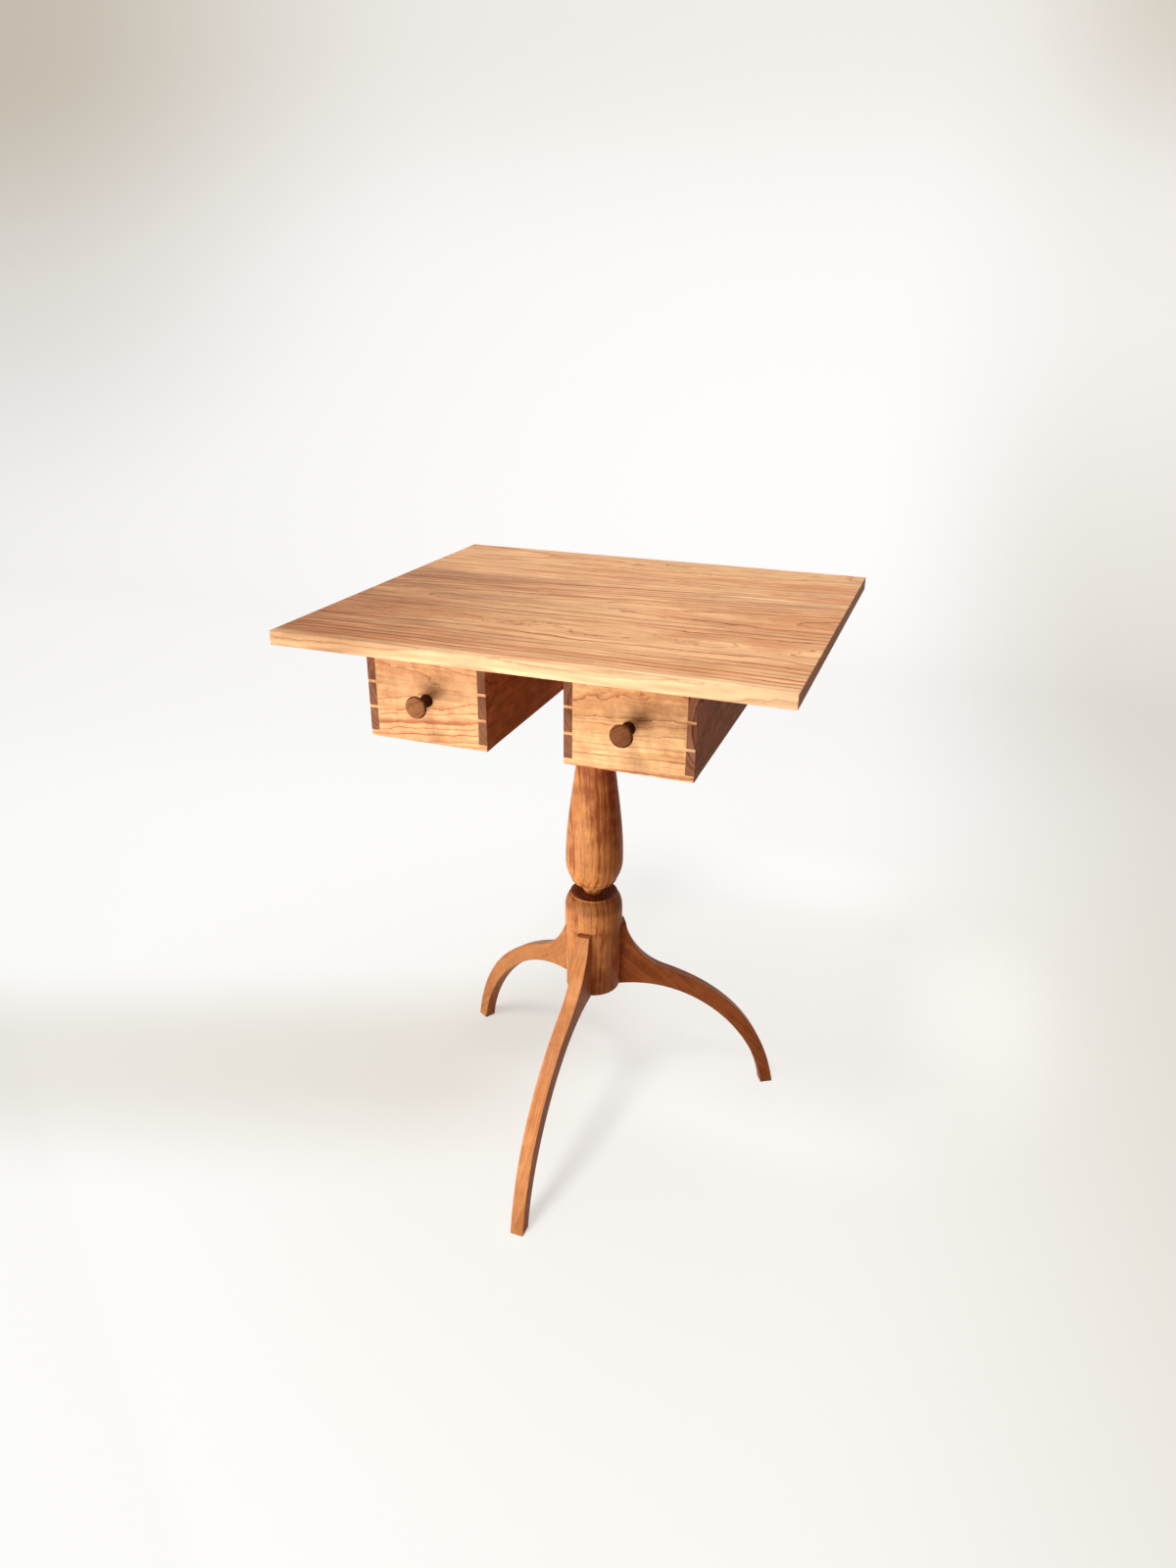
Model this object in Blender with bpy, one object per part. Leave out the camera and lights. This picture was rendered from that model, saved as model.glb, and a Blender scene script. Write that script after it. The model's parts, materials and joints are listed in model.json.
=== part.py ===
"""Sewing stand: an edge-glued top over two hung drawers, on a turned post with three sawn legs.

Metres, +Z up, drawers opening towards -Y. The origin is on the floor, under the middle of the
stand's outer box, so the post stands a little behind it.
"""

import math

import bmesh
import bpy
from mathutils import Matrix, Vector

# Clearances
GAP = 0.0003  # between faces that touch
SLIDE_PLAY = 0.001  # beside a drawer and its lips
DRAWER_TOP_PLAY = 0.002  # between a drawer and the underside of the top

# Top
TOP_WIDTH = 0.560
TOP_DEPTH = 0.498
TOP_THICKNESS = 0.016
TOP_HEIGHT = 0.732
REAR_BOARD = 0.162  # width of the rear board
FRONT_BOARD = 0.166
TOP_EASE = 0.0008  # the arrises, planed off

# Yoke and runners under the top
RUNNER_LENGTH = 0.380
RUNNER_THICKNESS = 0.019
RUNNER_WEB = 0.016  # width of the part that is screwed up
RUNNER_STOP = 0.012  # length of the solid end that stops a drawer
RUNNER_EASE = 0.0006

# Screws
SCREW_REACH = 0.026
SCREW_SHANK_R = 0.0021
SCREW_HEAD_R = 0.0040
SCREW_SLOT = 0.0011
SCREW_SINK = 0.0005  # depth of a head below its face
SCREW_SPACING = 0.150  # along a runner
YOKE_SCREW_SPACING = 0.042  # across the yoke
BOTTOM_SCREW_REACH = 0.016
BOTTOM_SCREW_SHANK_R = 0.0015
BOTTOM_SCREW_HEAD_R = 0.0029

# Drawers
DRAWER_WIDTH = 0.138
DRAWER_DEPTH = 0.442
DRAWER_HEIGHT = 0.0964
DRAWER_SPACING = 0.086  # clear space between the drawers
DRAWER_SETBACK = 0.028  # behind the front edge of the top
FRONT_THICKNESS = 0.016
SIDE_THICKNESS = 0.0095
BACK_THICKNESS = 0.011
BOTTOM_THICKNESS = 0.006
BOTTOM_LIFT = 0.008  # from a drawer's lower edge up to its bottom
GROOVE_DEPTH = 0.005
TONGUE_MARGIN = 0.002  # the bottom's front tongue stays this far from the sides
DRAWER_EASE = 0.0005
LIP_WIDTH = 0.010
LIP_HEIGHT = 0.009

# Dovetails of the drawers
TAILS = 3
PIN_WIDTH = 0.003  # at the outer face
HALF_PIN = 0.007
TAIL_SLOPE = 1 / 7

# Knobs
KNOB_R = 0.0122
KNOB_REACH = 0.0262
KNOB_DOME = 0.0030  # height of the domed face above the rim
KNOB_RIM = 0.0016  # height of the rim's rounding below its widest place
KNOB_NECK_Z = 0.0100
KNOB_NECK_R = 0.0056
KNOB_BASE_R = 0.0072
KNOB_TENON_R = 0.0047

# Post, from its foot upwards
POST_FOOT_Z = 0.201
HUB_HEIGHT = 0.097  # the cylinder that takes the legs
HUB_R = 0.0360
DRUM_R = 0.0381
DRUM_HEIGHT = 0.043
DRUM_STRAIGHT = 0.022
DRUM_RIM_R = 0.0312
OVOLO_SPREAD = 1.6  # the drum's shoulder: its radius over the step from the rim to the drum
OVOLO_DEGREES = 68
RIM_HEIGHT = 0.0028
RIM_WIDTH = 0.0016
DISH_DEPTH = 0.0085  # of the hollow inside the rim
NECK_R = 0.0125  # at the bottom of that hollow
NECK_TOP_R = 0.0146
NECK_RISE = 0.0047  # of the neck above the rim, up to the hollow under the vase
COVE_HEIGHT = 0.0182  # from the rim to the ring under the vase
VASE_RING = 0.0022
RING_STEP = 0.0006  # of that ring beyond the swell above it
VASE_FOOT_ARC = 0.048  # radius of the swell under the widest place
VASE_FOOT_HEIGHT = 0.027
VASE_R = 0.0374
WAIST_R = 0.0180
WAIST_DROP = 0.057  # of the waist below the yoke
POST_TOP_R = 0.0205
POST_FOOT_EASE = 0.0010
TENON_R = 0.0125
TENON_RELIEF = 0.0006  # of the tenon's end below the top

# Wedge in the post's tenon
WEDGE_HEIGHT = 0.015
WEDGE_THICK = 0.0032
WEDGE_THIN = 0.0012
WEDGE_MARGIN = 0.0006  # of the wedge's ends inside the tenon

# Legs
LEG_ANGLES = {"front": -90, "right": 30, "left": 150}
LEG_TOP_DROP = 0.0034  # of a leg's top below the drum
LEG_LAND = 0.008  # of its flat top
LEG_LOW_DROP = 0.002  # of a leg's lower edge below the post's foot
LEG_REACH = 0.271
LEG_THICKNESS = 0.019
FOOT_LENGTH = 0.0175
FOOT_THICKNESS = 0.0172
LEG_EASE = 0.0010
KNEE_OUT = 0.068  # from the hub to where the upper edge turns from hollow to round
KNEE_DROP = 0.081  # of that place below the leg's top
KNEE_SLOPE = 0.49
TONGUE_DEPTH = 0.010
TONGUE_NECK = 0.0095
TONGUE_WIDE = 0.0130
TONGUE_DROP = 0.008  # of the tongue's top below the leg's top

# Fineness of the curves
POST_SIDES = 44
KNOB_SIDES = 24
SCREW_SIDES = 12
CURVE_STEPS = 9

# Places that follow
UNDERSIDE = TOP_HEIGHT - TOP_THICKNESS
DRAWER_TOP = UNDERSIDE - DRAWER_TOP_PLAY
DRAWER_X = DRAWER_SPACING / 2 + DRAWER_WIDTH / 2
DRAWER_Y = -TOP_DEPTH / 2 + DRAWER_SETBACK
LEDGE_Z = DRAWER_TOP - LIP_HEIGHT - GAP
RUNNER_Z = UNDERSIDE - GAP - RUNNER_THICKNESS
STOP_Y = RUNNER_LENGTH / 2 - RUNNER_STOP
HUB_TOP_Z = POST_FOOT_Z + HUB_HEIGHT
LEG_TOP_Z = HUB_TOP_Z - LEG_TOP_DROP
LEG_LOW_Z = POST_FOOT_Z - LEG_LOW_DROP
TONGUE_TOP_Z = LEG_TOP_Z - TONGUE_DROP
HUB_FLAT = math.sqrt(HUB_R**2 - (LEG_THICKNESS / 2) ** 2)  # a leg's flat, from the post's axis
STAND_Y = (LEG_REACH - TOP_DEPTH / 2) / 2
PAST = 0.004  # how far a cutter runs past the face it opens


def clear_scene():
    for obj in list(bpy.data.objects):
        bpy.data.objects.remove(obj)


def make_material(name, colour, roughness, metallic=0.0):
    material = bpy.data.materials.new(name)
    material.use_nodes = True
    shader = material.node_tree.nodes["Principled BSDF"]
    shader.inputs["Base Color"].default_value = (*colour, 1)
    shader.inputs["Roughness"].default_value = roughness
    shader.inputs["Metallic"].default_value = metallic
    return material


def make_empty(name, place, parent=None):
    empty = bpy.data.objects.new(name, None)
    empty.location = place
    empty.parent = parent
    bpy.context.collection.objects.link(empty)
    return empty


def make_object(name, bm, material, parent, smooth=False):
    bmesh.ops.recalc_face_normals(bm, faces=bm.faces)
    mesh = bpy.data.meshes.new(name)
    bm.to_mesh(mesh)
    bm.free()
    if smooth:
        mesh.shade_smooth()
        mesh.set_sharp_from_angle(angle=math.radians(35))
    obj = bpy.data.objects.new(name, mesh)
    obj.parent = parent
    if material:
        mesh.materials.append(material)
    bpy.context.collection.objects.link(obj)
    return obj


def make_cutter(name, bm, parent):
    cutter = make_object(name, bm, None, parent)
    cutter.hide_render = True
    cutter.display_type = "WIRE"
    return cutter


def combine(target, tool, operation="DIFFERENCE"):
    modifier = target.modifiers.new(tool.name, "BOOLEAN")
    modifier.operation = operation
    modifier.solver = "EXACT"
    modifier.object = tool


def add_box(bm, low, high):
    low, high = Vector(low), Vector(high)
    place = Matrix.LocRotScale((low + high) / 2, None, high - low)
    bmesh.ops.create_cube(bm, size=1, matrix=place)


def add_prism(bm, outline, axis, low, high):
    """Extrudes an outline along X from its (y, z), along Y from its (x, z) or along Z from its (x, y)."""
    turn = {"X": (2, 0, 1), "Y": (0, 2, 1), "Z": (0, 1, 2)}[axis]
    rings = []
    for depth in (low, high):
        corners = [(u, v, depth) for u, v in outline]
        rings.append([bm.verts.new([c[turn[0]], c[turn[1]], c[turn[2]]]) for c in corners])
    bm.faces.new(rings[0])
    bm.faces.new(rings[1])
    for i in range(len(outline)):
        j = (i + 1) % len(outline)
        bm.faces.new((rings[0][i], rings[0][j], rings[1][j], rings[1][i]))


def add_turning(bm, profile, sides, place=Vector((0, 0, 0))):
    """Turns a profile of (radius, z) about Z. Its first and last points lie on the axis."""
    angles = [2 * math.pi * i / sides for i in range(sides)]
    rings = []
    for radius, z in profile[1:-1]:
        offsets = [Vector((radius * math.cos(a), radius * math.sin(a), z)) for a in angles]
        rings.append([bm.verts.new(place + offset) for offset in offsets])
    ends = [bm.verts.new(place + Vector((0, 0, profile[i][1]))) for i in (0, -1)]
    for i in range(sides):
        j = (i + 1) % sides
        for upper, lower in zip(rings, rings[1:]):
            bm.faces.new((upper[i], lower[i], lower[j], upper[j]))
        bm.faces.new((ends[0], rings[0][i], rings[0][j]))
        bm.faces.new((ends[1], rings[-1][j], rings[-1][i]))


def ease_edges(bm, width, chosen=lambda middle: True):
    """Takes the arris off each sharp edge whose middle is chosen."""
    sharp = [e for e in bm.edges if e.calc_face_angle(0) > math.radians(40)]
    eased = [e for e in sharp if chosen((e.verts[0].co + e.verts[1].co) / 2)]
    bmesh.ops.bevel(bm, geom=eased, offset=width, segments=1, profile=0.5, affect="EDGES")


def curve(start, start_handle, end_handle, end, steps=CURVE_STEPS):
    """Points of a cubic curve after its start, up to its end."""
    points = []
    for i in range(1, steps + 1):
        t = i / steps
        weights = ((1 - t) ** 3, 3 * t * (1 - t) ** 2, 3 * t**2 * (1 - t), t**3)
        corners = (start, start_handle, end_handle, end)
        points.append(tuple(sum(w * c[k] for w, c in zip(weights, corners)) for k in (0, 1)))
    return points


def arc(centre, radius_r, radius_z, from_degrees, to_degrees, steps):
    """Points of an elliptical arc in (r, z), its ends included."""
    points = []
    for i in range(steps + 1):
        angle = math.radians(from_degrees + (to_degrees - from_degrees) * i / steps)
        points.append((centre[0] + radius_r * math.cos(angle), centre[1] + radius_z * math.sin(angle)))
    return points


def screw_profile(reach, shank_r, head_r, clearance=0.0):
    """A countersunk screw pointing up, its head's face at z = 0. With a clearance it is the hole for one."""
    profile = [
        (0, reach + clearance),
        (0.2 * shank_r + clearance, reach + clearance),
        (shank_r + clearance, reach - 3 * shank_r),
        (shank_r + clearance, head_r - shank_r),
        (head_r + clearance, 0),
    ]
    if clearance:
        return profile + [(head_r + clearance, -PAST), (0, -PAST)]
    return profile + [(0, 0)]


def make_screw(name, place, reach, shank_r, head_r, material, parent):
    bm = bmesh.new()
    add_turning(bm, screw_profile(reach, shank_r, head_r), SCREW_SIDES)
    screw = make_object(name, bm, material, parent, smooth=True)
    screw.location = place
    bm = bmesh.new()
    add_box(bm, (-head_r - PAST, -SCREW_SLOT / 2, -PAST), (head_r + PAST, SCREW_SLOT / 2, SCREW_SLOT))
    slot = make_cutter(f"cut_{name}_slot", bm, parent)
    slot.location = place
    combine(screw, slot)
    return screw


def screw_places():
    """Names and places of the screws that hold the yoke and the runners up to the top."""
    z = RUNNER_Z + SCREW_SINK
    places = {}
    runner_x = DRAWER_X + DRAWER_WIDTH / 2 + LIP_WIDTH + SLIDE_PLAY + RUNNER_WEB / 2
    for side, x in (("left", -runner_x), ("right", runner_x)):
        for row, y in (("front", -SCREW_SPACING), ("middle", 0), ("rear", SCREW_SPACING)):
            places[f"{side}_runner_screw_{row}"] = (x, y, z)
    for side, x in (("left", -YOKE_SCREW_SPACING / 2), ("right", YOKE_SCREW_SPACING / 2)):
        for row, y in (("front", -SCREW_SPACING), ("rear", SCREW_SPACING)):
            places[f"yoke_screw_{side}_{row}"] = (x, y, z)
    return places


def make_screws(parent, material):
    """The screws, and one cutter with all their holes."""
    bm = bmesh.new()
    for name, place in screw_places().items():
        make_screw(name, place, SCREW_REACH, SCREW_SHANK_R, SCREW_HEAD_R, material, parent)
        hole = screw_profile(SCREW_REACH, SCREW_SHANK_R, SCREW_HEAD_R, GAP)
        add_turning(bm, hole, SCREW_SIDES, Vector(place))
    return make_cutter("cut_screw_holes", bm, parent)


def make_top(parent, material, screw_holes):
    """The top's boards, eased along their outer edges and ends but not where they are glued."""
    half_x, half_y = TOP_WIDTH / 2, TOP_DEPTH / 2
    joints = (-half_y, -half_y + FRONT_BOARD, half_y - REAR_BOARD, half_y)
    for i, row in enumerate(("front", "middle", "rear")):
        low_y = joints[i] + (GAP / 2 if i > 0 else 0)
        high_y = joints[i + 1] - (GAP / 2 if i < 2 else 0)
        middle = (low_y + high_y) / 2
        bm = bmesh.new()
        add_box(bm, (-half_x, low_y, UNDERSIDE), (half_x, high_y, TOP_HEIGHT))
        ease_edges(
            bm,
            TOP_EASE,
            lambda m: abs(m.y) > half_y - GAP or (abs(m.x) > half_x - GAP and abs(m.y - middle) < GAP),
        )
        board = make_object(f"top_board_{row}", bm, material, parent)
        combine(board, screw_holes)


def make_runners(parent, material, screw_holes):
    """The two outer runners, rabbeted to carry the drawers' outer lips."""
    half_length = RUNNER_LENGTH / 2
    inner = DRAWER_X + DRAWER_WIDTH / 2 + SLIDE_PLAY
    web = inner + LIP_WIDTH
    for side, sign in (("left", -1), ("right", 1)):
        xs = sorted((sign * inner, sign * (web + RUNNER_WEB)))
        bm = bmesh.new()
        add_box(bm, (xs[0], -half_length, RUNNER_Z), (xs[1], half_length, UNDERSIDE - GAP))
        ease_edges(bm, RUNNER_EASE, lambda m: m.z < UNDERSIDE - 2 * GAP)
        runner = make_object(f"{side}_runner", bm, material, parent)
        xs = sorted((sign * (inner - PAST), sign * web))
        bm = bmesh.new()
        add_box(bm, (xs[0], -half_length - PAST, LEDGE_Z), (xs[1], STOP_Y, UNDERSIDE + PAST))
        combine(runner, make_cutter(f"cut_{side}_runner_rabbet", bm, parent))
        combine(runner, screw_holes)


def make_yoke(parent, material, screw_holes):
    """The board between the drawers: it takes the post's tenon and carries both inner lips."""
    half_length = RUNNER_LENGTH / 2
    half_width = DRAWER_SPACING / 2 - SLIDE_PLAY
    web = half_width - LIP_WIDTH
    bm = bmesh.new()
    add_box(bm, (-half_width, -half_length, RUNNER_Z), (half_width, half_length, UNDERSIDE - GAP))
    ease_edges(bm, RUNNER_EASE, lambda m: m.z < UNDERSIDE - 2 * GAP)
    yoke = make_object("yoke", bm, material, parent)
    bm = bmesh.new()
    for xs in ((-half_width - PAST, -web), (web, half_width + PAST)):
        add_box(bm, (xs[0], -half_length - PAST, LEDGE_Z), (xs[1], STOP_Y, UNDERSIDE + PAST))
    combine(yoke, make_cutter("cut_yoke_rabbets", bm, parent))
    bm = bmesh.new()
    low, high = RUNNER_Z - PAST, UNDERSIDE + PAST
    hole = [(0, high), (TENON_R + GAP, high), (TENON_R + GAP, low), (0, low)]
    add_turning(bm, hole, POST_SIDES)
    combine(yoke, make_cutter("cut_yoke_mortise", bm, parent))
    combine(yoke, screw_holes)


def post_profile():
    """The turned post from its tenon down to its foot, as (radius, z)."""
    tenon_top = UNDERSIDE - TENON_RELIEF
    shoulder = RUNNER_Z - GAP
    waist_z = RUNNER_Z - WAIST_DROP
    drum_top = HUB_TOP_Z + DRUM_HEIGHT
    rim_top = drum_top + RIM_HEIGHT
    ring_z = rim_top + COVE_HEIGHT
    belly_z = ring_z + VASE_RING + VASE_FOOT_HEIGHT
    rise = waist_z - belly_z
    foot_angle = math.degrees(math.asin(VASE_FOOT_HEIGHT / VASE_FOOT_ARC))
    vase_foot = arc((VASE_R - VASE_FOOT_ARC, belly_z), VASE_FOOT_ARC, VASE_FOOT_ARC, 0, -foot_angle, 5)
    ring_r = vase_foot[-1][0] + RING_STEP
    neck_top = (NECK_TOP_R, rim_top + NECK_RISE)
    dish_r = DRUM_RIM_R - RIM_WIDTH
    ovolo_height = DRUM_HEIGHT - DRUM_STRAIGHT
    profile = [(0, tenon_top), (TENON_R, tenon_top), (TENON_R, shoulder), (POST_TOP_R, shoulder)]
    profile += curve(
        (POST_TOP_R, shoulder),
        (POST_TOP_R - 0.5 * (POST_TOP_R - WAIST_R), shoulder - 0.3 * WAIST_DROP),
        (WAIST_R, waist_z + 0.45 * WAIST_DROP),
        (WAIST_R, waist_z),
        4,
    )
    profile += curve(
        (WAIST_R, waist_z),
        (WAIST_R, waist_z - 0.48 * rise),
        (VASE_R, belly_z + 0.33 * rise),
        (VASE_R, belly_z),
        12,
    )
    profile += vase_foot[1:]
    profile += [(ring_r, ring_z + VASE_RING), (ring_r, ring_z)]
    profile += curve(
        (ring_r, ring_z),
        (ring_r - 0.15 * (ring_r - NECK_TOP_R), ring_z - 0.2 * COVE_HEIGHT),
        (NECK_TOP_R, ring_z - 0.45 * COVE_HEIGHT),
        neck_top,
        5,
    )
    profile.append((NECK_R, rim_top - 0.5 * DISH_DEPTH))
    profile += curve(
        profile[-1],
        (NECK_R, rim_top - DISH_DEPTH),
        (NECK_R + 0.6 * (dish_r - NECK_R), rim_top - DISH_DEPTH),
        (dish_r, rim_top),
        6,
    )
    profile.append((DRUM_RIM_R, rim_top))
    ovolo_r = OVOLO_SPREAD * (DRUM_R - DRUM_RIM_R)
    ovolo_z = ovolo_height / math.sin(math.radians(OVOLO_DEGREES))
    profile += arc((DRUM_R - ovolo_r, drum_top - ovolo_height), ovolo_r, ovolo_z, OVOLO_DEGREES, 0, 6)
    profile += [
        (DRUM_R, HUB_TOP_Z),
        (HUB_R, HUB_TOP_Z),
        (HUB_R, POST_FOOT_Z + POST_FOOT_EASE),
        (HUB_R - POST_FOOT_EASE, POST_FOOT_Z),
        (0, POST_FOOT_Z),
    ]
    return profile


def tongue_outline(clearance):
    """The dovetail of a leg in plan, running out through the hub's flat, as (out, across)."""
    neck = TONGUE_NECK / 2 + clearance
    wide = TONGUE_WIDE / 2 + clearance
    inner = HUB_FLAT - TONGUE_DEPTH - clearance
    outer = HUB_FLAT + PAST
    return [(inner, -wide), (HUB_FLAT, -neck), (outer, -neck), (outer, neck), (HUB_FLAT, neck), (inner, wide)]


def make_post(parent, material):
    bm = bmesh.new()
    add_turning(bm, post_profile(), POST_SIDES)
    post = make_object("post", bm, material, parent, smooth=True)
    for leg, degrees in LEG_ANGLES.items():
        bm = bmesh.new()
        half = LEG_THICKNESS
        add_box(bm, (HUB_FLAT, -half, POST_FOOT_Z - PAST), (HUB_R + PAST, half, HUB_TOP_Z))
        flat = make_cutter(f"cut_{leg}_flat", bm, parent)
        bm = bmesh.new()
        add_prism(bm, tongue_outline(GAP), "Z", POST_FOOT_Z - PAST, TONGUE_TOP_Z + GAP)
        socket = make_cutter(f"cut_{leg}_socket", bm, parent)
        for cutter in (flat, socket):
            cutter.rotation_euler.z = math.radians(degrees)
            combine(post, cutter)
    bm = bmesh.new()
    add_prism(bm, wedge_outline(GAP), "X", -TENON_R - PAST, TENON_R + PAST)
    combine(post, make_cutter("cut_post_kerf", bm, parent))


def wedge_outline(clearance):
    """The tenon's wedge seen from its end, as (y, z)."""
    top = UNDERSIDE - TENON_RELIEF
    low = top - WEDGE_HEIGHT - clearance
    high = top + (PAST if clearance else 0)
    thick, thin = WEDGE_THICK / 2 + clearance, WEDGE_THIN / 2 + clearance
    return [(-thin, low), (thin, low), (thick, high), (-thick, high)]


def make_wedge(parent, material):
    half = TENON_R - WEDGE_MARGIN
    bm = bmesh.new()
    add_prism(bm, wedge_outline(0), "X", -half, half)
    make_object("post_wedge", bm, material, parent)


def leg_outline():
    """A leg seen from its side, as (distance from the post's axis, z), from its top round by its toe."""
    shoulder = HUB_FLAT + GAP
    heel = LEG_REACH - FOOT_LENGTH
    knee = (shoulder + KNEE_OUT, LEG_TOP_Z - KNEE_DROP)
    along = Vector((1, -KNEE_SLOPE)).normalized()
    rise, run = knee[1], LEG_REACH - knee[0]
    outline = [(shoulder, LEG_TOP_Z), (shoulder + LEG_LAND, LEG_TOP_Z)]
    outline += curve(
        outline[1],
        (shoulder + LEG_LAND + 0.02 * KNEE_OUT, LEG_TOP_Z - 0.14 * KNEE_DROP),
        (knee[0] - 0.76 * KNEE_OUT * along.x, knee[1] - 0.76 * KNEE_OUT * along.y),
        knee,
    )
    outline += curve(
        knee,
        (knee[0] + 0.55 * run * along.x, knee[1] + 0.55 * run * along.y),
        (LEG_REACH - 0.12 * run, 0.52 * rise),
        (LEG_REACH, 0),
    )
    outline.append((heel, 0))
    outline += curve(
        (heel, 0),
        (heel - 0.058 * heel, 0.47 * LEG_LOW_Z),
        (shoulder + 0.49 * (heel - shoulder), LEG_LOW_Z),
        (shoulder, LEG_LOW_Z),
        14,
    )
    return outline


def make_leg(name, degrees, parent, material):
    shoulder = HUB_FLAT + GAP
    bm = bmesh.new()
    add_prism(bm, leg_outline(), "Y", -0.5, 0.5)
    for vert in bm.verts:
        share = (vert.co.x - shoulder) / (LEG_REACH - shoulder)
        vert.co.y *= LEG_THICKNESS + (FOOT_THICKNESS - LEG_THICKNESS) * share
    bmesh.ops.recalc_face_normals(bm, faces=bm.faces)
    ease_edges(bm, LEG_EASE, lambda m: m.x > shoulder + GAP and abs(m.y) > GAP)
    leg = make_object(f"{name}_leg", bm, material, parent, smooth=True)
    bm = bmesh.new()
    add_prism(bm, tongue_outline(0), "Z", POST_FOOT_Z, TONGUE_TOP_Z)
    tongue = make_cutter(f"add_{name}_tongue", bm, parent)
    combine(leg, tongue, "UNION")
    for obj in (leg, tongue):
        obj.rotation_euler.z = math.radians(degrees)


def pin_edges():
    """Lower and upper edges of the pins at a joint's outer face, from the lowest half pin up."""
    tail = (DRAWER_HEIGHT - 2 * HALF_PIN - (TAILS - 1) * PIN_WIDTH) / TAILS
    edges = [(-PAST, HALF_PIN)]
    for i in range(1, TAILS):
        low = HALF_PIN + i * tail + (i - 1) * PIN_WIDTH
        edges.append((low, low + PIN_WIDTH))
    edges.append((DRAWER_HEIGHT - HALF_PIN, DRAWER_HEIGHT + PAST))
    return edges


def wedge_between(low, high, face_y, inward, depth, slope, clearance):
    """A pin or tail seen from the drawer's side: (y, z) from past its outer face in to its baseline."""
    before, after = -PAST, depth + clearance
    low -= clearance
    high += clearance
    return [
        (face_y + inward * before, low - slope * before),
        (face_y + inward * after, low - slope * after),
        (face_y + inward * after, high + slope * after),
        (face_y + inward * before, high + slope * before),
    ]


def add_pin_slots(bm, face_y, inward, depth, low_x, high_x, with_lowest):
    """Cuts between the tails of a side: they take the pins of the front or the back."""
    for low, high in pin_edges()[0 if with_lowest else 1 :]:
        outline = wedge_between(low, high, face_y, inward, depth, TAIL_SLOPE, GAP)
        add_prism(bm, outline, "X", low_x, high_x)


def add_tail_sockets(bm, face_y, inward, depth, low_x, high_x, from_below):
    """Cuts between the pins of a front or back: they take the tails of a side."""
    edges = pin_edges()
    for i, (below, above) in enumerate(zip(edges, edges[1:])):
        low = -PAST if from_below and i == 0 else below[1]
        past = depth + PAST
        outline = wedge_between(low, above[0], face_y, inward, past, -TAIL_SLOPE, 0)
        add_prism(bm, outline, "X", low_x, high_x)


def make_drawer_front(name, parent, material):
    half = DRAWER_WIDTH / 2
    inner = half - SIDE_THICKNESS
    bm = bmesh.new()
    add_box(bm, (-half, 0, 0), (half, FRONT_THICKNESS, DRAWER_HEIGHT))
    ease_edges(bm, DRAWER_EASE, lambda m: m.y < GAP)
    front = make_object(f"{name}_front", bm, material, parent)
    bm = bmesh.new()
    for low_x, high_x in ((-half - PAST, -inner + GAP), (inner - GAP, half + PAST)):
        add_tail_sockets(bm, 0, 1, FRONT_THICKNESS, low_x, high_x, False)
    combine(front, make_cutter(f"cut_{name}_front_sockets", bm, parent))
    bm = bmesh.new()
    tongue = inner - TONGUE_MARGIN + GAP
    low = (-tongue, FRONT_THICKNESS - GROOVE_DEPTH, BOTTOM_LIFT - GAP)
    high = (tongue, FRONT_THICKNESS + PAST, BOTTOM_LIFT + BOTTOM_THICKNESS + GAP)
    add_box(bm, low, high)
    combine(front, make_cutter(f"cut_{name}_front_groove", bm, parent))
    bm = bmesh.new()
    radius, inside = KNOB_TENON_R + GAP, -FRONT_THICKNESS - PAST
    add_turning(bm, [(0, PAST), (radius, PAST), (radius, inside), (0, inside)], KNOB_SIDES)
    hole = make_cutter(f"cut_{name}_knob_hole", bm, parent)
    aim_knob(hole)
    combine(front, hole)


def make_drawer_side(name, sign, parent, material):
    outer = sign * DRAWER_WIDTH / 2
    inner = sign * (DRAWER_WIDTH / 2 - SIDE_THICKNESS)
    low_x, high_x = min(outer, inner), max(outer, inner)
    bm = bmesh.new()
    add_box(bm, (low_x, 0, 0), (high_x, DRAWER_DEPTH, DRAWER_HEIGHT))
    ease_edges(bm, DRAWER_EASE, lambda m: abs(m.x - outer) < GAP and GAP < m.y < DRAWER_DEPTH - GAP)
    side = make_object(name, bm, material, parent)
    bm = bmesh.new()
    add_pin_slots(bm, 0, 1, FRONT_THICKNESS, low_x - PAST, high_x + PAST, True)
    add_pin_slots(bm, DRAWER_DEPTH, -1, BACK_THICKNESS, low_x - PAST, high_x + PAST, False)
    combine(side, make_cutter(f"cut_{name}_pins", bm, parent))
    groove = sorted((inner + sign * GROOVE_DEPTH, inner - sign * PAST))
    bm = bmesh.new()
    low = (groove[0], FRONT_THICKNESS, BOTTOM_LIFT - GAP)
    high = (groove[1], DRAWER_DEPTH + PAST, BOTTOM_LIFT + BOTTOM_THICKNESS + GAP)
    add_box(bm, low, high)
    combine(side, make_cutter(f"cut_{name}_groove", bm, parent))


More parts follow.
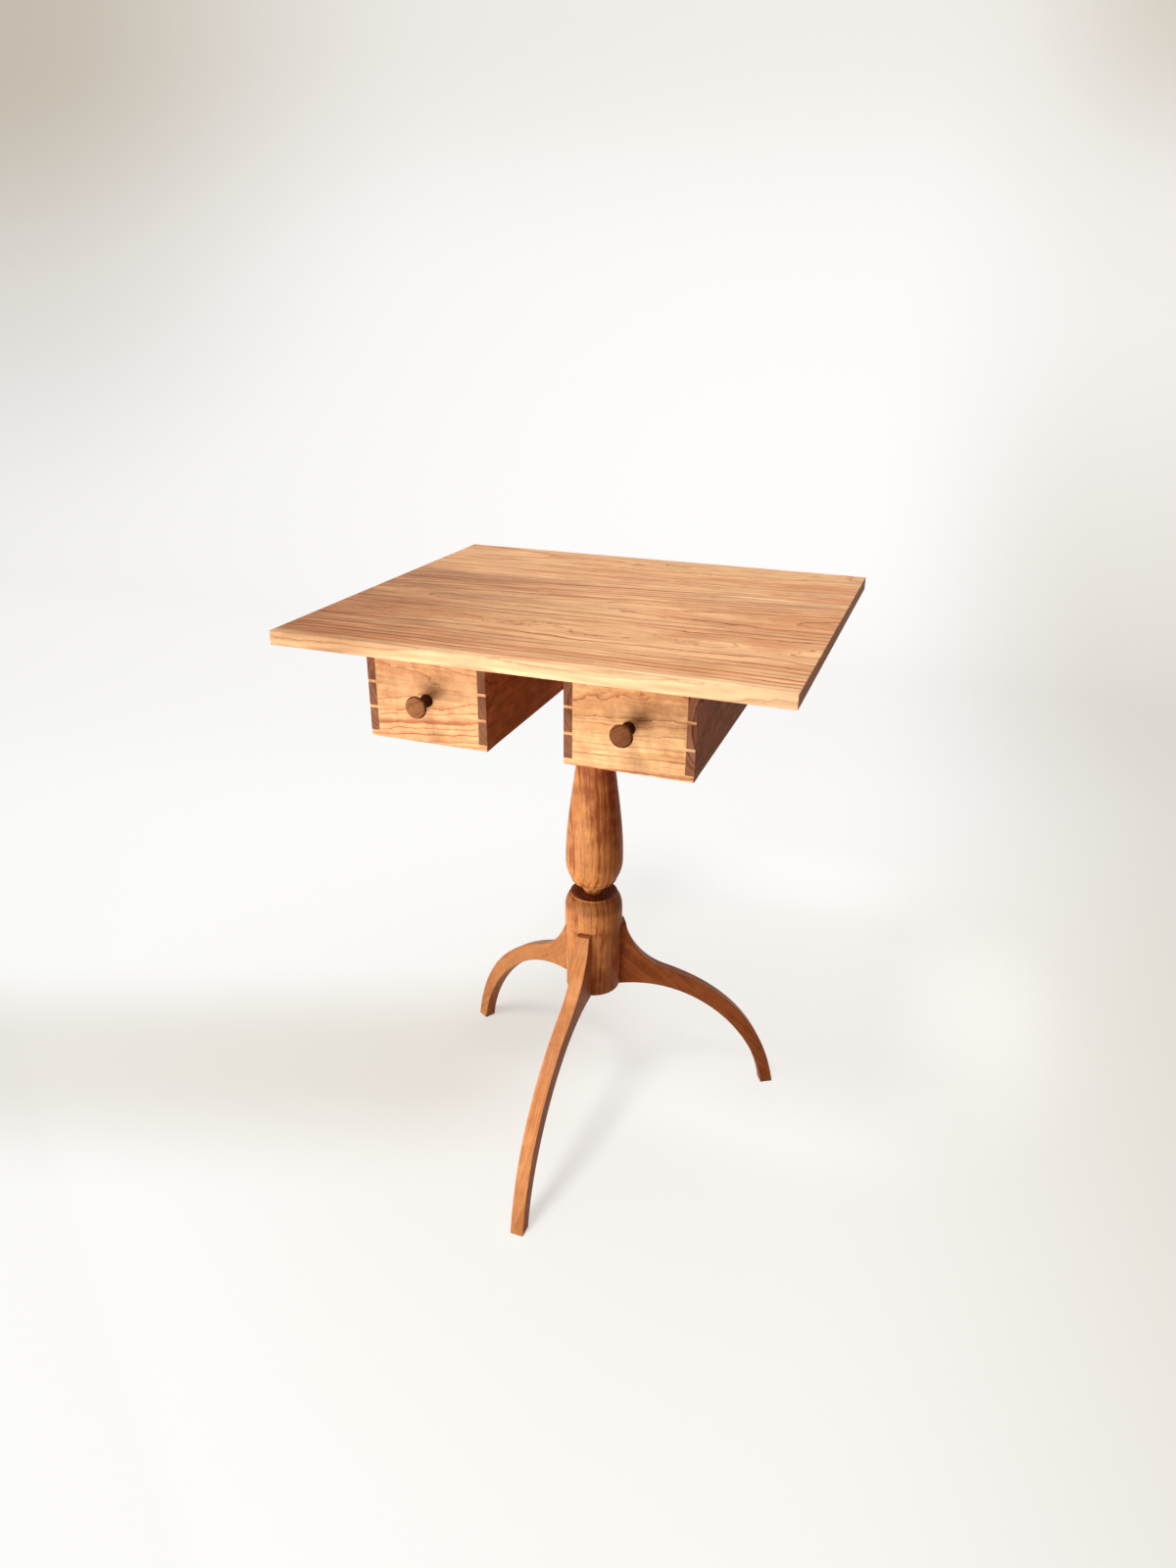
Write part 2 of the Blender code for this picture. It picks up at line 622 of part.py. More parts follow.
def make_drawer_back(name, parent, material, screw_hole):
    half = DRAWER_WIDTH / 2
    inner = half - SIDE_THICKNESS
    low_z = BOTTOM_LIFT + BOTTOM_THICKNESS + GAP
    bm = bmesh.new()
    add_box(bm, (-half, DRAWER_DEPTH - BACK_THICKNESS, low_z), (half, DRAWER_DEPTH, DRAWER_HEIGHT))
    ease_edges(bm, DRAWER_EASE, lambda m: m.y > DRAWER_DEPTH - GAP)
    back = make_object(f"{name}_back", bm, material, parent)
    bm = bmesh.new()
    for low_x, high_x in ((-half - PAST, -inner + GAP), (inner - GAP, half + PAST)):
        add_tail_sockets(bm, DRAWER_DEPTH, -1, BACK_THICKNESS, low_x, high_x, True)
    combine(back, make_cutter(f"cut_{name}_back_sockets", bm, parent))
    combine(back, screw_hole)


def make_drawer_bottom(name, parent, material, screw_hole):
    """The bottom runs in the sides' grooves, with a narrower tongue in the front, and under the back."""
    half = DRAWER_WIDTH / 2 - SIDE_THICKNESS + GROOVE_DEPTH - GAP
    tongue = DRAWER_WIDTH / 2 - SIDE_THICKNESS - TONGUE_MARGIN
    front = FRONT_THICKNESS - GROOVE_DEPTH + GAP
    shoulder = FRONT_THICKNESS + GAP
    rear = DRAWER_DEPTH - DRAWER_EASE
    outline = [(-tongue, front), (tongue, front), (tongue, shoulder), (half, shoulder)]
    outline += [(half, rear), (-half, rear), (-half, shoulder), (-tongue, shoulder)]
    bm = bmesh.new()
    add_prism(bm, outline, "Z", BOTTOM_LIFT, BOTTOM_LIFT + BOTTOM_THICKNESS)
    bottom = make_object(f"{name}_bottom", bm, material, parent)
    combine(bottom, screw_hole)


def make_bottom_screw(name, parent, material):
    """The screw up through the bottom into the back, and the cutter of its hole."""
    sizes = (BOTTOM_SCREW_REACH, BOTTOM_SCREW_SHANK_R, BOTTOM_SCREW_HEAD_R)
    place = Vector((0, DRAWER_DEPTH - BACK_THICKNESS / 2, BOTTOM_LIFT + SCREW_SINK))
    make_screw(f"{name}_bottom_screw", place, *sizes, material, parent)
    bm = bmesh.new()
    add_turning(bm, screw_profile(*sizes, GAP), SCREW_SIDES, place)
    return make_cutter(f"cut_{name}_screw_hole", bm, parent)


def aim_knob(obj):
    """Points a turning's +Z out of the middle of a drawer front."""
    obj.location = (0, 0, DRAWER_HEIGHT / 2)
    obj.rotation_euler.x = math.radians(90)


def make_knob(name, parent, material):
    """A turned mushroom knob with a tenon through the front."""
    rim_z = KNOB_REACH - KNOB_DOME
    under_rim = (KNOB_R - KNOB_RIM / 3, rim_z - KNOB_RIM)
    tenon_end = -FRONT_THICKNESS + GAP
    profile = [(0, KNOB_REACH)]
    profile += arc((0, rim_z + KNOB_DOME / 6), KNOB_R - KNOB_DOME / 6, KNOB_DOME * 5 / 6, 76, 8, 5)
    profile += [(KNOB_R, rim_z), under_rim]
    profile += curve(
        under_rim,
        (0.55 * under_rim[0] + 0.45 * KNOB_NECK_R, rim_z - 2.2 * KNOB_RIM),
        (KNOB_NECK_R, 0.4 * rim_z + 0.6 * KNOB_NECK_Z),
        (KNOB_NECK_R, KNOB_NECK_Z),
        6,
    )
    profile += curve(
        (KNOB_NECK_R, KNOB_NECK_Z),
        (KNOB_NECK_R, 0.45 * KNOB_NECK_Z),
        (KNOB_BASE_R, 0.35 * KNOB_NECK_Z),
        (KNOB_BASE_R, GAP),
        4,
    )
    profile += [(KNOB_TENON_R, GAP), (KNOB_TENON_R, tenon_end), (0, tenon_end)]
    bm = bmesh.new()
    add_turning(bm, profile, KNOB_SIDES)
    knob = make_object(f"{name}_knob", bm, material, parent, smooth=True)
    aim_knob(knob)


def make_lip(name, sign, parent, material):
    """The strip along the top of a drawer's side that slides on a runner's ledge."""
    face = DRAWER_WIDTH / 2 + GAP
    xs = sorted((sign * face, sign * (DRAWER_WIDTH / 2 + LIP_WIDTH)))
    bm = bmesh.new()
    low = (xs[0], -STOP_Y - DRAWER_Y, DRAWER_HEIGHT - LIP_HEIGHT)
    high = (xs[1], STOP_Y - GAP - DRAWER_Y, DRAWER_HEIGHT)
    add_box(bm, low, high)
    ease_edges(bm, DRAWER_EASE, lambda m: abs(m.x) > face + GAP)
    make_object(name, bm, material, parent)


def make_drawer(name, hand, parent, cherry, walnut, brass):
    """A drawer in its own frame: front face at y = 0, lower edge at z = 0, middle at x = 0."""
    drawer = make_empty(name, (hand * DRAWER_X, DRAWER_Y, DRAWER_TOP - DRAWER_HEIGHT), parent)
    screw_hole = make_bottom_screw(name, drawer, brass)
    make_drawer_front(name, drawer, cherry)
    make_drawer_back(name, drawer, walnut, screw_hole)
    make_drawer_bottom(name, drawer, cherry, screw_hole)
    make_knob(name, drawer, walnut)
    for side, sign in (("inner", -hand), ("outer", hand)):
        make_drawer_side(f"{name}_{side}_side", sign, drawer, walnut)
        make_lip(f"{name}_{side}_lip", sign, drawer, walnut)


def main():
    clear_scene()
    cherry = make_material("cherry", (0.55, 0.27, 0.11), 0.42)
    turned_cherry = make_material("turned_cherry", (0.44, 0.18, 0.065), 0.38)
    walnut = make_material("walnut", (0.115, 0.052, 0.032), 0.48)
    brass = make_material("brass", (0.62, 0.44, 0.17), 0.35, 1.0)
    stand = make_empty("stand", (0, STAND_Y, 0))
    screw_holes = make_screws(stand, brass)
    make_top(stand, cherry, screw_holes)
    make_yoke(stand, cherry, screw_holes)
    make_runners(stand, cherry, screw_holes)
    make_post(stand, turned_cherry)
    make_wedge(stand, walnut)
    for leg, degrees in LEG_ANGLES.items():
        make_leg(leg, degrees, stand, turned_cherry)
    for name, hand in (("left_drawer", -1), ("right_drawer", 1)):
        make_drawer(name, hand, stand, cherry, walnut, brass)


main()
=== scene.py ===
"""Looks of the sewing stand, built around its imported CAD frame.

Metres, +Z up, drawers opening towards -Y, as in the frame. Pieces that show are built finer here
and stand for their CAD nodes; the rest of the nodes get the same woods.
"""

import json
import math

import bmesh
import bpy
from mathutils import Matrix, Vector

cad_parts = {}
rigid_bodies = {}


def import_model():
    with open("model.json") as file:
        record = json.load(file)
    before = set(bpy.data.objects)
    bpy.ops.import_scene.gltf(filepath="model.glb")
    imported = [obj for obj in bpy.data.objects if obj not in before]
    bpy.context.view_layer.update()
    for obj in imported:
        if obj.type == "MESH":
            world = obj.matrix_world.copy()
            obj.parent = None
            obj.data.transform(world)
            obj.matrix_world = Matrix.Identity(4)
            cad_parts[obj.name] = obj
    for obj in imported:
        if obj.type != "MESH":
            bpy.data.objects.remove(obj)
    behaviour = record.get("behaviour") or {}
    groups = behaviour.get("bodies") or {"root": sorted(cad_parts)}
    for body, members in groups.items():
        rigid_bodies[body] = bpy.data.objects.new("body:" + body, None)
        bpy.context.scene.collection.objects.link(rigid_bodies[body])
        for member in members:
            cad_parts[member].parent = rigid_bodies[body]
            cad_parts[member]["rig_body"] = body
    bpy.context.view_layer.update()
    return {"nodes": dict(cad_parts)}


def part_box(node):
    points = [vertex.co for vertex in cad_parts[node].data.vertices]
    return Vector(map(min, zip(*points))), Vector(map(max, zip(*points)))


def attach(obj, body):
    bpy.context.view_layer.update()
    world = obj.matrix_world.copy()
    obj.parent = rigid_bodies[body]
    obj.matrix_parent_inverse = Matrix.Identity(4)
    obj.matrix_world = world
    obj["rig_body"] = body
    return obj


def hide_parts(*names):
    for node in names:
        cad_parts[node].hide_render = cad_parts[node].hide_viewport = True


RAGGED = 0.0026  # how far the ring lines stray over a centimetre or two

# Camera, fitted to the photograph's straight edges
PHOTO_HEIGHT_PX = 1600
FOCAL_PX = 1086.466
SENSOR = 36.0
CAMERA_AZIMUTH = 19.871
CAMERA_ELEVATION = 23.829
CAMERA_ROLL = 0.569
CAMERA_DISTANCE = 1.350331
CAMERA_TARGET = Vector((-0.00993, 0.011, 0.495262))

# Sizes that repeat the frame's
JOINT = 0.00003  # what is left open between glued pieces
GLUE_GAP = 0.0003  # what the frame leaves open there
PAST = 0.004  # how far a cutter runs past the face it opens
STAND_Y = 0.011
TOP_WIDTH = 0.560
TOP_DEPTH = 0.498
TOP_THICKNESS = 0.016
TOP_HEIGHT = 0.732
REAR_BOARD = 0.162
FRONT_BOARD = 0.166
TOP_EASE = 0.0009
UNDERSIDE = TOP_HEIGHT - TOP_THICKNESS
RUNNER_HEIGHT = 0.019
RUNNER_Z = UNDERSIDE - GLUE_GAP - RUNNER_HEIGHT

DRAWER_WIDTH = 0.138
DRAWER_DEPTH = 0.442
DRAWER_HEIGHT = 0.0964
DRAWER_INSET = 0.043  # from the stand's middle to the drawer
DRAWER_SETBACK = 0.028
DRAWER_HEADROOM = 0.002
DRAWER_X = DRAWER_INSET + DRAWER_WIDTH / 2
DRAWER_Y = STAND_Y - TOP_DEPTH / 2 + DRAWER_SETBACK
DRAWER_Z = UNDERSIDE - DRAWER_HEADROOM - DRAWER_HEIGHT
FRONT_THICKNESS = 0.016
SIDE_THICKNESS = 0.0095
BACK_THICKNESS = 0.011
BOTTOM_LIFT = 0.008
BOTTOM_THICKNESS = 0.006
GROOVE_DEPTH = 0.005
GROOVE_GAP = 0.0003
TONGUE_MARGIN = 0.002
DRAWER_EASE = 0.0006
TAILS = 3
PIN_WIDTH = 0.003
HALF_PIN = 0.007
TAIL_SLOPE = 1 / 7

KNOB_R = 0.0122
KNOB_REACH = 0.0262
KNOB_DOME = 0.0030
KNOB_RIM = 0.0016
KNOB_ARRIS_R = 0.0006
KNOB_ARRIS_Z = 0.0007
KNOB_ARRIS_DROP = 0.0002
KNOB_NECK_Z = 0.0100
KNOB_NECK_R = 0.0056
KNOB_BASE_R = 0.0072
KNOB_TENON_R = 0.0047

POST_FOOT_Z = 0.201
HUB_HEIGHT = 0.097
HUB_TOP_Z = POST_FOOT_Z + HUB_HEIGHT
HUB_R = 0.0360
DRUM_R = 0.0381
DRUM_HEIGHT = 0.043
DRUM_STRAIGHT = 0.022
DRUM_EASE = 0.0005
DRUM_RIM_R = 0.0312
OVOLO_SPREAD = 1.6
OVOLO_DEGREES = 68
RIM_HEIGHT = 0.0028
RIM_WIDTH = 0.0016
DISH_DEPTH = 0.0085
NECK_R = 0.0125
NECK_TOP_R = 0.0146
NECK_RISE = 0.0047
COVE_HEIGHT = 0.0182
VASE_RING = 0.0022
RING_STEP = 0.0006
VASE_FOOT_ARC = 0.048
VASE_FOOT_HEIGHT = 0.027
VASE_R = 0.0374
WAIST_R = 0.0180
WAIST_DROP = 0.057
POST_TOP_R = 0.0205
POST_EASE = 0.0010
TENON_R = 0.0125
TENON_TOP = UNDERSIDE - 2 * GLUE_GAP

LEG_ANGLES = {"front": -90, "right": 30, "left": 150}
LEG_DROP = 0.0034
LEG_TOP_Z = HUB_TOP_Z - LEG_DROP
LEG_LAND = 0.008
LEG_BELOW_POST = 0.002
LEG_LOW_Z = POST_FOOT_Z - LEG_BELOW_POST
LEG_REACH = 0.271
LEG_THICKNESS = 0.019
FOOT_LENGTH = 0.0175
FOOT_THICKNESS = 0.0172
LEG_EASE = 0.0012
KNEE_OUT = 0.068
KNEE_DROP = 0.081
KNEE_SLOPE = 0.49
HUB_FLAT = math.sqrt(HUB_R**2 - (LEG_THICKNESS / 2) ** 2)
LEG_GRAIN = Vector((0.68, 0, -0.73)).normalized()
LEG_MIDDLE = Vector((0.15, 0, 0.16))
TONGUE_DEPTH = 0.010
TONGUE_NECK = 0.0095
TONGUE_WIDE = 0.0130
TONGUE_SHOULDER = 0.008
TONGUE_TOP_Z = LEG_TOP_Z - TONGUE_SHOULDER

WEDGE_HEIGHT = 0.015
WEDGE_THICK = 0.0032
WEDGE_THIN = 0.0012
WEDGE_GAP = 0.0003

SCREW_SLOT = 0.0011
TOP_SCREW_SHANK = 0.0021 / 0.0040  # of its head
BOTTOM_SCREW_R = 0.0015
BOTTOM_SCREW_SHANK = BOTTOM_SCREW_R / 0.0029
SCREW_TURN = math.radians(37)  # from each slot to the next
POST_SIDES = 112
KNOB_SIDES = 64
SCREW_SIDES = 32
SMOOTH_BELOW = math.radians(32)
EASED_ABOVE = math.radians(40)

# The stage
FLOOR_FRONT = -4.0
FLOOR_BACK = 2.2
SWEEP_R = 1.2
SWEEP_STEPS = 24
BACKDROP_HEIGHT = 4.5
STAGE_WIDTH = 12.0
CORNER_SHADES = (  # a centre, the distances at which the shade starts and is full, and its depth
    ((-4.4, 3.4, 2.4), 2.7, 0.5, 0.20),
    ((0.95, 3.4, 2.1), 0.75, 0.1, 0.12),
)
SHADE_TINTS = ((1.0, 0.0), (1.14, 0.013), (1.36, 0.036))  # of red, green and blue: the shade, and the warmth

X, Y, Z = Vector((1, 0, 0)), Vector((0, 1, 0)), Vector((0, 0, 1))


def srgb(red, green, blue):
    """A colour as it is seen, 0 to 255, as the linear values that nodes take."""
    values = []
    for c in (red, green, blue):
        c /= 255
        values.append(c / 12.92 if c <= 0.04045 else ((c + 0.055) / 1.055) ** 2.4)
    return (*values, 1)


class Graph:
    """Short words for a node tree."""

    def __init__(self, tree):
        self.tree = tree

    def node(self, kind, inputs=None, **settings):
        node = self.tree.nodes.new("ShaderNode" + kind)
        for key, value in settings.items():
            setattr(node, key, value)
        for key, value in (inputs or {}).items():
            self.feed(node.inputs[key], value)
        return node

    def feed(self, socket, value):
        if isinstance(value, bpy.types.NodeSocket):
            self.tree.links.new(value, socket)
        else:
            socket.default_value = value

    def math(self, operation, a, b=0.0, c=0.0):
        return self.node("Math", {0: a, 1: b, 2: c}, operation=operation).outputs[0]

    def vector(self, operation, a, b=(0, 0, 0), c=(0, 0, 0)):
        node = self.node("VectorMath", {0: a, 1: b}, operation=operation)
        if operation == "MULTIPLY_ADD":
            self.feed(node.inputs[2], c)
        return node.outputs["Value" if operation in ("LENGTH", "DOT_PRODUCT") else "Vector"]

    def noise(self, place, scale, seed, detail=2.0, roughness=0.5):
        """Noise about 0, with a scale per metre along and across the grain."""
        shift = (seed * 3.17, seed * 5.31, seed * 7.73)
        stretched = self.vector("MULTIPLY_ADD", place, scale, shift)
        inputs = {"Vector": stretched, "Scale": 1.0, "Detail": detail, "Roughness": roughness}
        return self.math("SUBTRACT", self.node("TexNoise", inputs).outputs[0], 0.5)

    def mix(self, factor, a, b, blend="MIX"):
        node = self.node("Mix", data_type="RGBA", blend_type=blend)
        self.feed(node.inputs[0], factor)
        self.feed(node.inputs[6], a)
        self.feed(node.inputs[7], b)
        return node.outputs[2]

    def distance(self, place, centre):
        return self.vector("LENGTH", self.vector("SUBTRACT", place, centre))

    def seen_directly(self, rays):
        """1 where the eye sees a place, also by a reflection or through glass."""
        direct = self.math("MAXIMUM", rays.outputs["Is Camera Ray"], rays.outputs["Is Glossy Ray"])
        return self.math("MAXIMUM", direct, rays.outputs["Is Transmission Ray"])

    def step(self, value, low, high):
        """0 below low, 1 above high, smooth between."""
        node = self.node("MapRange", {0: value, 1: low, 2: high, 3: 0.0, 4: 1.0})
        node.interpolation_type = "SMOOTHSTEP"
        return node.outputs[0]


CHERRY = {
    "pale": srgb(235, 180, 127),
    "deep": srgb(196, 130, 82),
    "line": srgb(140, 90, 64),
    "fleck": srgb(72, 38, 22),
    "end": srgb(206, 142, 94),
    "streak": 0.5,
    "fibre": 0.36,
    "mottle": 0.14,
    "ripple": 0.06,
    "line_amount": 1.0,
    "pore": 0.14,
    "rough": 0.46,
    "gloss": 0.14,
}
BROAD = {
    **CHERRY,
    "pale": srgb(225, 173, 123),
    "deep": srgb(195, 133, 87),
    "line": srgb(158, 92, 52),
    "sap": srgb(234, 193, 147),
    "streak": 0.42,
    "fibre": 0.42,
    "pore": 0.04,
}
FRONT = {
    **CHERRY,
    "pale": srgb(232, 180, 127),
    "deep": srgb(206, 149, 98),
    "line": srgb(186, 118, 76),
    "streak": 0.44,
    "mottle": 0.22,
    "ripple": 0.03,
}
# A lighter copy of FRONT for the right drawer: painted light, making up for the lamps' light falling off
# towards it
PAINTED_LIGHT_FRONT = {
    **FRONT,
    "pale": srgb(243, 196, 140),
    "deep": srgb(212, 156, 102),
}
TURNED = {
    **CHERRY,
    "pale": srgb(242, 170, 102),
    "deep": srgb(154, 78, 38),
    "line": srgb(160, 106, 76),
    "end": srgb(164, 96, 48),
    "streak": 0.9,
    "mottle": 0.16,
}
SAWN = {
    **TURNED,
    "pale": srgb(216, 148, 91),
    "deep": srgb(190, 120, 69),
    "streak": 0.2,
    "fibre": 0.2,
}
# A darker, redder copy for the right leg: partly the wood's own tone, partly painted shade for a leg further
# from the lamps and behind the post
RED_AND_SHADED = {
    **SAWN,
    "pale": srgb(200, 119, 66),
    "deep": srgb(164, 90, 48),
    "streak": 0.14,
}
WALNUT = {
    "pale": srgb(152, 101, 68),
    "deep": srgb(108, 69, 45),
    "line": srgb(140, 104, 84),
    "fleck": srgb(44, 26, 20),
    "end": srgb(136, 90, 66),
    "streak": 0.5,
    "fibre": 0.3,
    "mottle": 0.12,
    "ripple": 0.03,
    "line_amount": 0.9,
    "pore": 0.26,
    "rough": 0.55,
    "gloss": 0.04,
}
# A much lighter copy of WALNUT for the drawer sides that face +X, away from the lamps: painted light that
# lifts their shade
PAINTED_LIGHT_WALNUT = {
    **WALNUT,
    "pale": srgb(212, 148, 94),
    "deep": srgb(160, 106, 64),
    "line": srgb(110, 80, 62),
    "streak": 0.9,
    "gloss": 0.05,
}
PALE_KNOB = {
    **WALNUT,
    "pale": srgb(154, 100, 63),
    "deep": srgb(100, 60, 36),
    "end": srgb(152, 100, 64),
    "line": srgb(120, 84, 64),
    "mottle": 0.4,
}
DARK_KNOB = {
    **PALE_KNOB,
    "pale": srgb(130, 81, 49),
    "deep": srgb(94, 56, 33),
    "end": srgb(124, 77, 47),
}


def wood(
    name, look, origin, grain, across, seed, pith, ring,
    taper=0.0, drift=0.0, wave=3.2, sway=0.004, waver=0.002, late=0.0008,
    lines=1.0, streaks=1.0, figure=1.0, fine=1.0, sap=None, painted_shade=(),
):
    """A solid wood: growth rings about a pith line that runs along the grain, cut by the piece's own faces.

    The pith is given as its distances from the origin along across and along grain x across, and ring is
    the width of a ring, of which late is its dark edge. Taper is how much further in a place lies per metre
    along the grain, drift how far the pith moves across, and sway how far it wanders, wave times a metre. Sap
    gives the two distances along across between which the wood turns to pale sapwood, and each painted shade
    the two along the grain between which the colour is darkened to stand for shade, and by how much.
    Figure is the strength of the mottling, and fine how close the fibres lie and how short the bends of
    the lines are.
    """
    material = bpy.data.materials.new(name)
    material.use_nodes = True
    g = Graph(material.node_tree)
    shader = material.node_tree.nodes["Principled BSDF"]
    coordinates = g.node("TexCoord")
    turn = Matrix((grain, across, grain.cross(across)))
    mapping = g.node("Mapping", {"Vector": coordinates.outputs["Object"]})
    mapping.inputs["Rotation"].default_value = turn.to_euler("XYZ")
    mapping.inputs["Location"].default_value = -(turn @ Vector(origin))
    place = mapping.outputs[0]
    parts = g.node("SeparateXYZ", {0: place})

    # Rings
    aside = g.math("SUBTRACT", g.math("MULTIPLY_ADD", parts.outputs[0], -drift, parts.outputs[1]), pith[0])
    outward = g.node("CombineXYZ", {1: aside, 2: g.math("SUBTRACT", parts.outputs[2], pith[1])}).outputs[0]
    radius = g.vector("LENGTH", outward)
    radius = g.math("MULTIPLY_ADD", parts.outputs[0], taper, radius)
    wander = g.noise(place, (wave, 9, 9), seed, 1.0)
    radius = g.math("MULTIPLY_ADD", wander, 2 * sway, radius)
    wobble = g.noise(place, (20, 46, 46), seed + 1, 2.0)
    radius = g.math("MULTIPLY_ADD", wobble, 2 * waver, radius)
    bend = math.sqrt(fine)
    stray = g.noise(place, (75 * bend, 130 * bend, 130 * bend), seed + 2, 3.0, 0.6)
    radius = g.math("MULTIPLY_ADD", stray, RAGGED, radius)
    count = g.math("DIVIDE", radius, ring)
    widths = {"W": g.math("ADD", count, seed), "Scale": 0.45, "Detail": 1.0}
    uneven = g.node("TexNoise", widths, noise_dimensions="1D").outputs[0]
    count = g.math("MULTIPLY_ADD", uneven, 0.4 + 1.2 * fine, count)
    index = g.math("FLOOR", count)
    turned = g.node("Mapping", {"Vector": coordinates.outputs["Normal"]}, vector_type="VECTOR")
    turned.inputs["Rotation"].default_value = turn.to_euler("XYZ")
    facing = g.vector("DOT_PRODUCT", g.vector("NORMALIZE", outward), turned.outputs[0])
    slant = g.math("MULTIPLY_ADD", g.math("POWER", facing, 2.0), -1.0, 1.0)
    width = g.math("MULTIPLY", g.math("POWER", g.math("MAXIMUM", slant, 0.01), 0.4), late / ring)
    inward = g.math("DIVIDE", g.math("SUBTRACT", 1.0, g.math("FRACT", count)), width)
    edge = g.math("MAXIMUM", g.step(inward, 1.5, 0.6), g.math("MULTIPLY", g.step(inward, 4.0, 1.0), 0.3))
    number = {"W": g.math("ADD", index, seed * 7.0)}
    chance = g.node("TexWhiteNoise", number, noise_dimensions="1D").outputs["Value"]
    strength = g.math("MULTIPLY_ADD", chance, 0.7, 0.3)
    fading = g.step(g.noise(place, (7, 30, 30), seed + 3, 2.0), -0.22, 0.08)
    line = g.math("MULTIPLY", g.math("MULTIPLY", edge, strength), g.math("MULTIPLY_ADD", fading, 0.5, 0.5))
    line = g.math("MULTIPLY", line, look["line_amount"] * lines)

    # Fine streaks within the rings
    ringwise = g.node("CombineXYZ", {0: parts.outputs[0], 1: count, 2: parts.outputs[1]}).outputs[0]
    bands = g.noise(ringwise, (4.2, 2.2 * fine, 9.0), seed + 8, 4 * fine, 0.62)
    fibre = g.noise(place, (12, 300 * fine, 300 * fine), seed + 6, 4 * fine, 0.7)

    # Colour
    tone = g.noise(place, (5, 13, 13), seed + 4, 2.0)
    share = g.math("MULTIPLY_ADD", tone, 1.5, 0.42)
    share = g.math("MULTIPLY_ADD", bands, 4.0, share)
    blotch = g.noise(place, (48, 60, 60), seed + 10, 3.0)
    share = g.math("MULTIPLY_ADD", blotch, 1.6 * figure, share)
    colour = g.mix(g.step(share, 0.0, 1.0), look["pale"], look["deep"])
    if sap:
        sappy = g.math("MULTIPLY_ADD", tone, 0.03, parts.outputs[1])
        young = g.step(sappy, *sap)
        colour = g.mix(young, colour, look["sap"])
        line = g.math("MULTIPLY", line, g.math("MULTIPLY_ADD", young, -0.55, 1.0))
    along = g.node("SeparateXYZ", {0: turned.outputs[0]}).outputs[0]
    end = g.step(g.math("ABSOLUTE", along), 0.72, 0.97)
    colour = g.mix(end, colour, look["end"])
    colour = g.mix(line, colour, g.mix(1.0, colour, look["line"], "MULTIPLY"))
    mottle = g.noise(place, (130, 90, 90), seed + 5, 4.0, 0.65)
    ripple = g.noise(place, (190, 26, 26), seed + 9, 2.0)
    level = g.math("MULTIPLY_ADD", mottle, 2 * look["mottle"] * figure, 1.0)
    level = g.math("MULTIPLY_ADD", ripple, 2 * look["ripple"] * figure, level)
    level = g.math("MULTIPLY_ADD", bands, 2 * look["streak"] * streaks, level)
    level = g.math("MULTIPLY_ADD", fibre, 2 * look["fibre"], level)
    pore = g.step(g.noise(place, (130, 2300, 2300), seed + 7, 1.0), 0.08, 0.22)
    level = g.math("MULTIPLY_ADD", pore, -look["pore"], level)
    # Painted shade: darkens the colour between two places along the grain, to stand for shade falling there
    for low, high, amount in painted_shade:
        level = g.math("MULTIPLY_ADD", g.step(parts.outputs[0], low, high), -amount, level)
    level = g.math("MAXIMUM", level, 0.2)
    warm = {0: level, 1: g.math("POWER", level, 1.25), 2: g.math("POWER", level, 1.5)}
    colour = g.mix(1.0, colour, g.node("CombineColor", warm).outputs[0], "MULTIPLY")
    spots = g.vector("MULTIPLY_ADD", place, (11, 32, 32), (seed, seed * 2.3, seed * 1.7))
    cells = g.node("TexVoronoi", {"Vector": spots, "Scale": 1.0})
    fleck = g.math("SUBTRACT", 1.0, g.step(cells.outputs["Distance"], 0.02, 0.07))
    rare = g.step(g.node("SeparateColor", {0: cells.outputs["Color"]}).outputs[0], 0.6, 0.85)
    colour = g.mix(g.math("MULTIPLY", fleck, g.math("MULTIPLY", rare, 0.9)), colour, look["fleck"])

    g.feed(shader.inputs["Base Color"], colour)
    sheen = g.math("MULTIPLY_ADD", bands, 0.16, look["rough"])
    g.feed(shader.inputs["Roughness"], g.math("MULTIPLY_ADD", end, 0.10, sheen))
    shader.inputs["Specular IOR Level"].default_value = look["gloss"]
    height = g.math("MULTIPLY_ADD", pore, -0.6, fibre)
    height = g.math("MULTIPLY_ADD", line, -0.35, height)
    bump = g.node("Bump", {"Height": height, "Strength": 0.5, "Distance": 0.00012})
    g.feed(shader.inputs["Normal"], bump.outputs[0])
    return material


def brass():
    """Tarnished brass for the screws."""
    material = bpy.data.materials.new("brass_screw")
    material.use_nodes = True
    g = Graph(material.node_tree)
    shader = material.node_tree.nodes["Principled BSDF"]
    place = g.node("TexCoord").outputs["Object"]
    tarnish = g.noise(place, (420, 420, 420), 3, 3.0)
    scratch = g.noise(place, (1800, 160, 160), 5, 2.0)
    colour = g.mix(g.step(tarnish, -0.2, 0.25), srgb(214, 178, 104), srgb(162, 122, 64))
    g.feed(shader.inputs["Base Color"], colour)
    g.feed(shader.inputs["Roughness"], g.math("MULTIPLY_ADD", scratch, 0.3, 0.36))
    shader.inputs["Metallic"].default_value = 1.0
    return material


def add_box(bm, low, high):
    low, high = Vector(low), Vector(high)
    place = Matrix.LocRotScale((low + high) / 2, None, high - low)
    bmesh.ops.create_cube(bm, size=1, matrix=place)


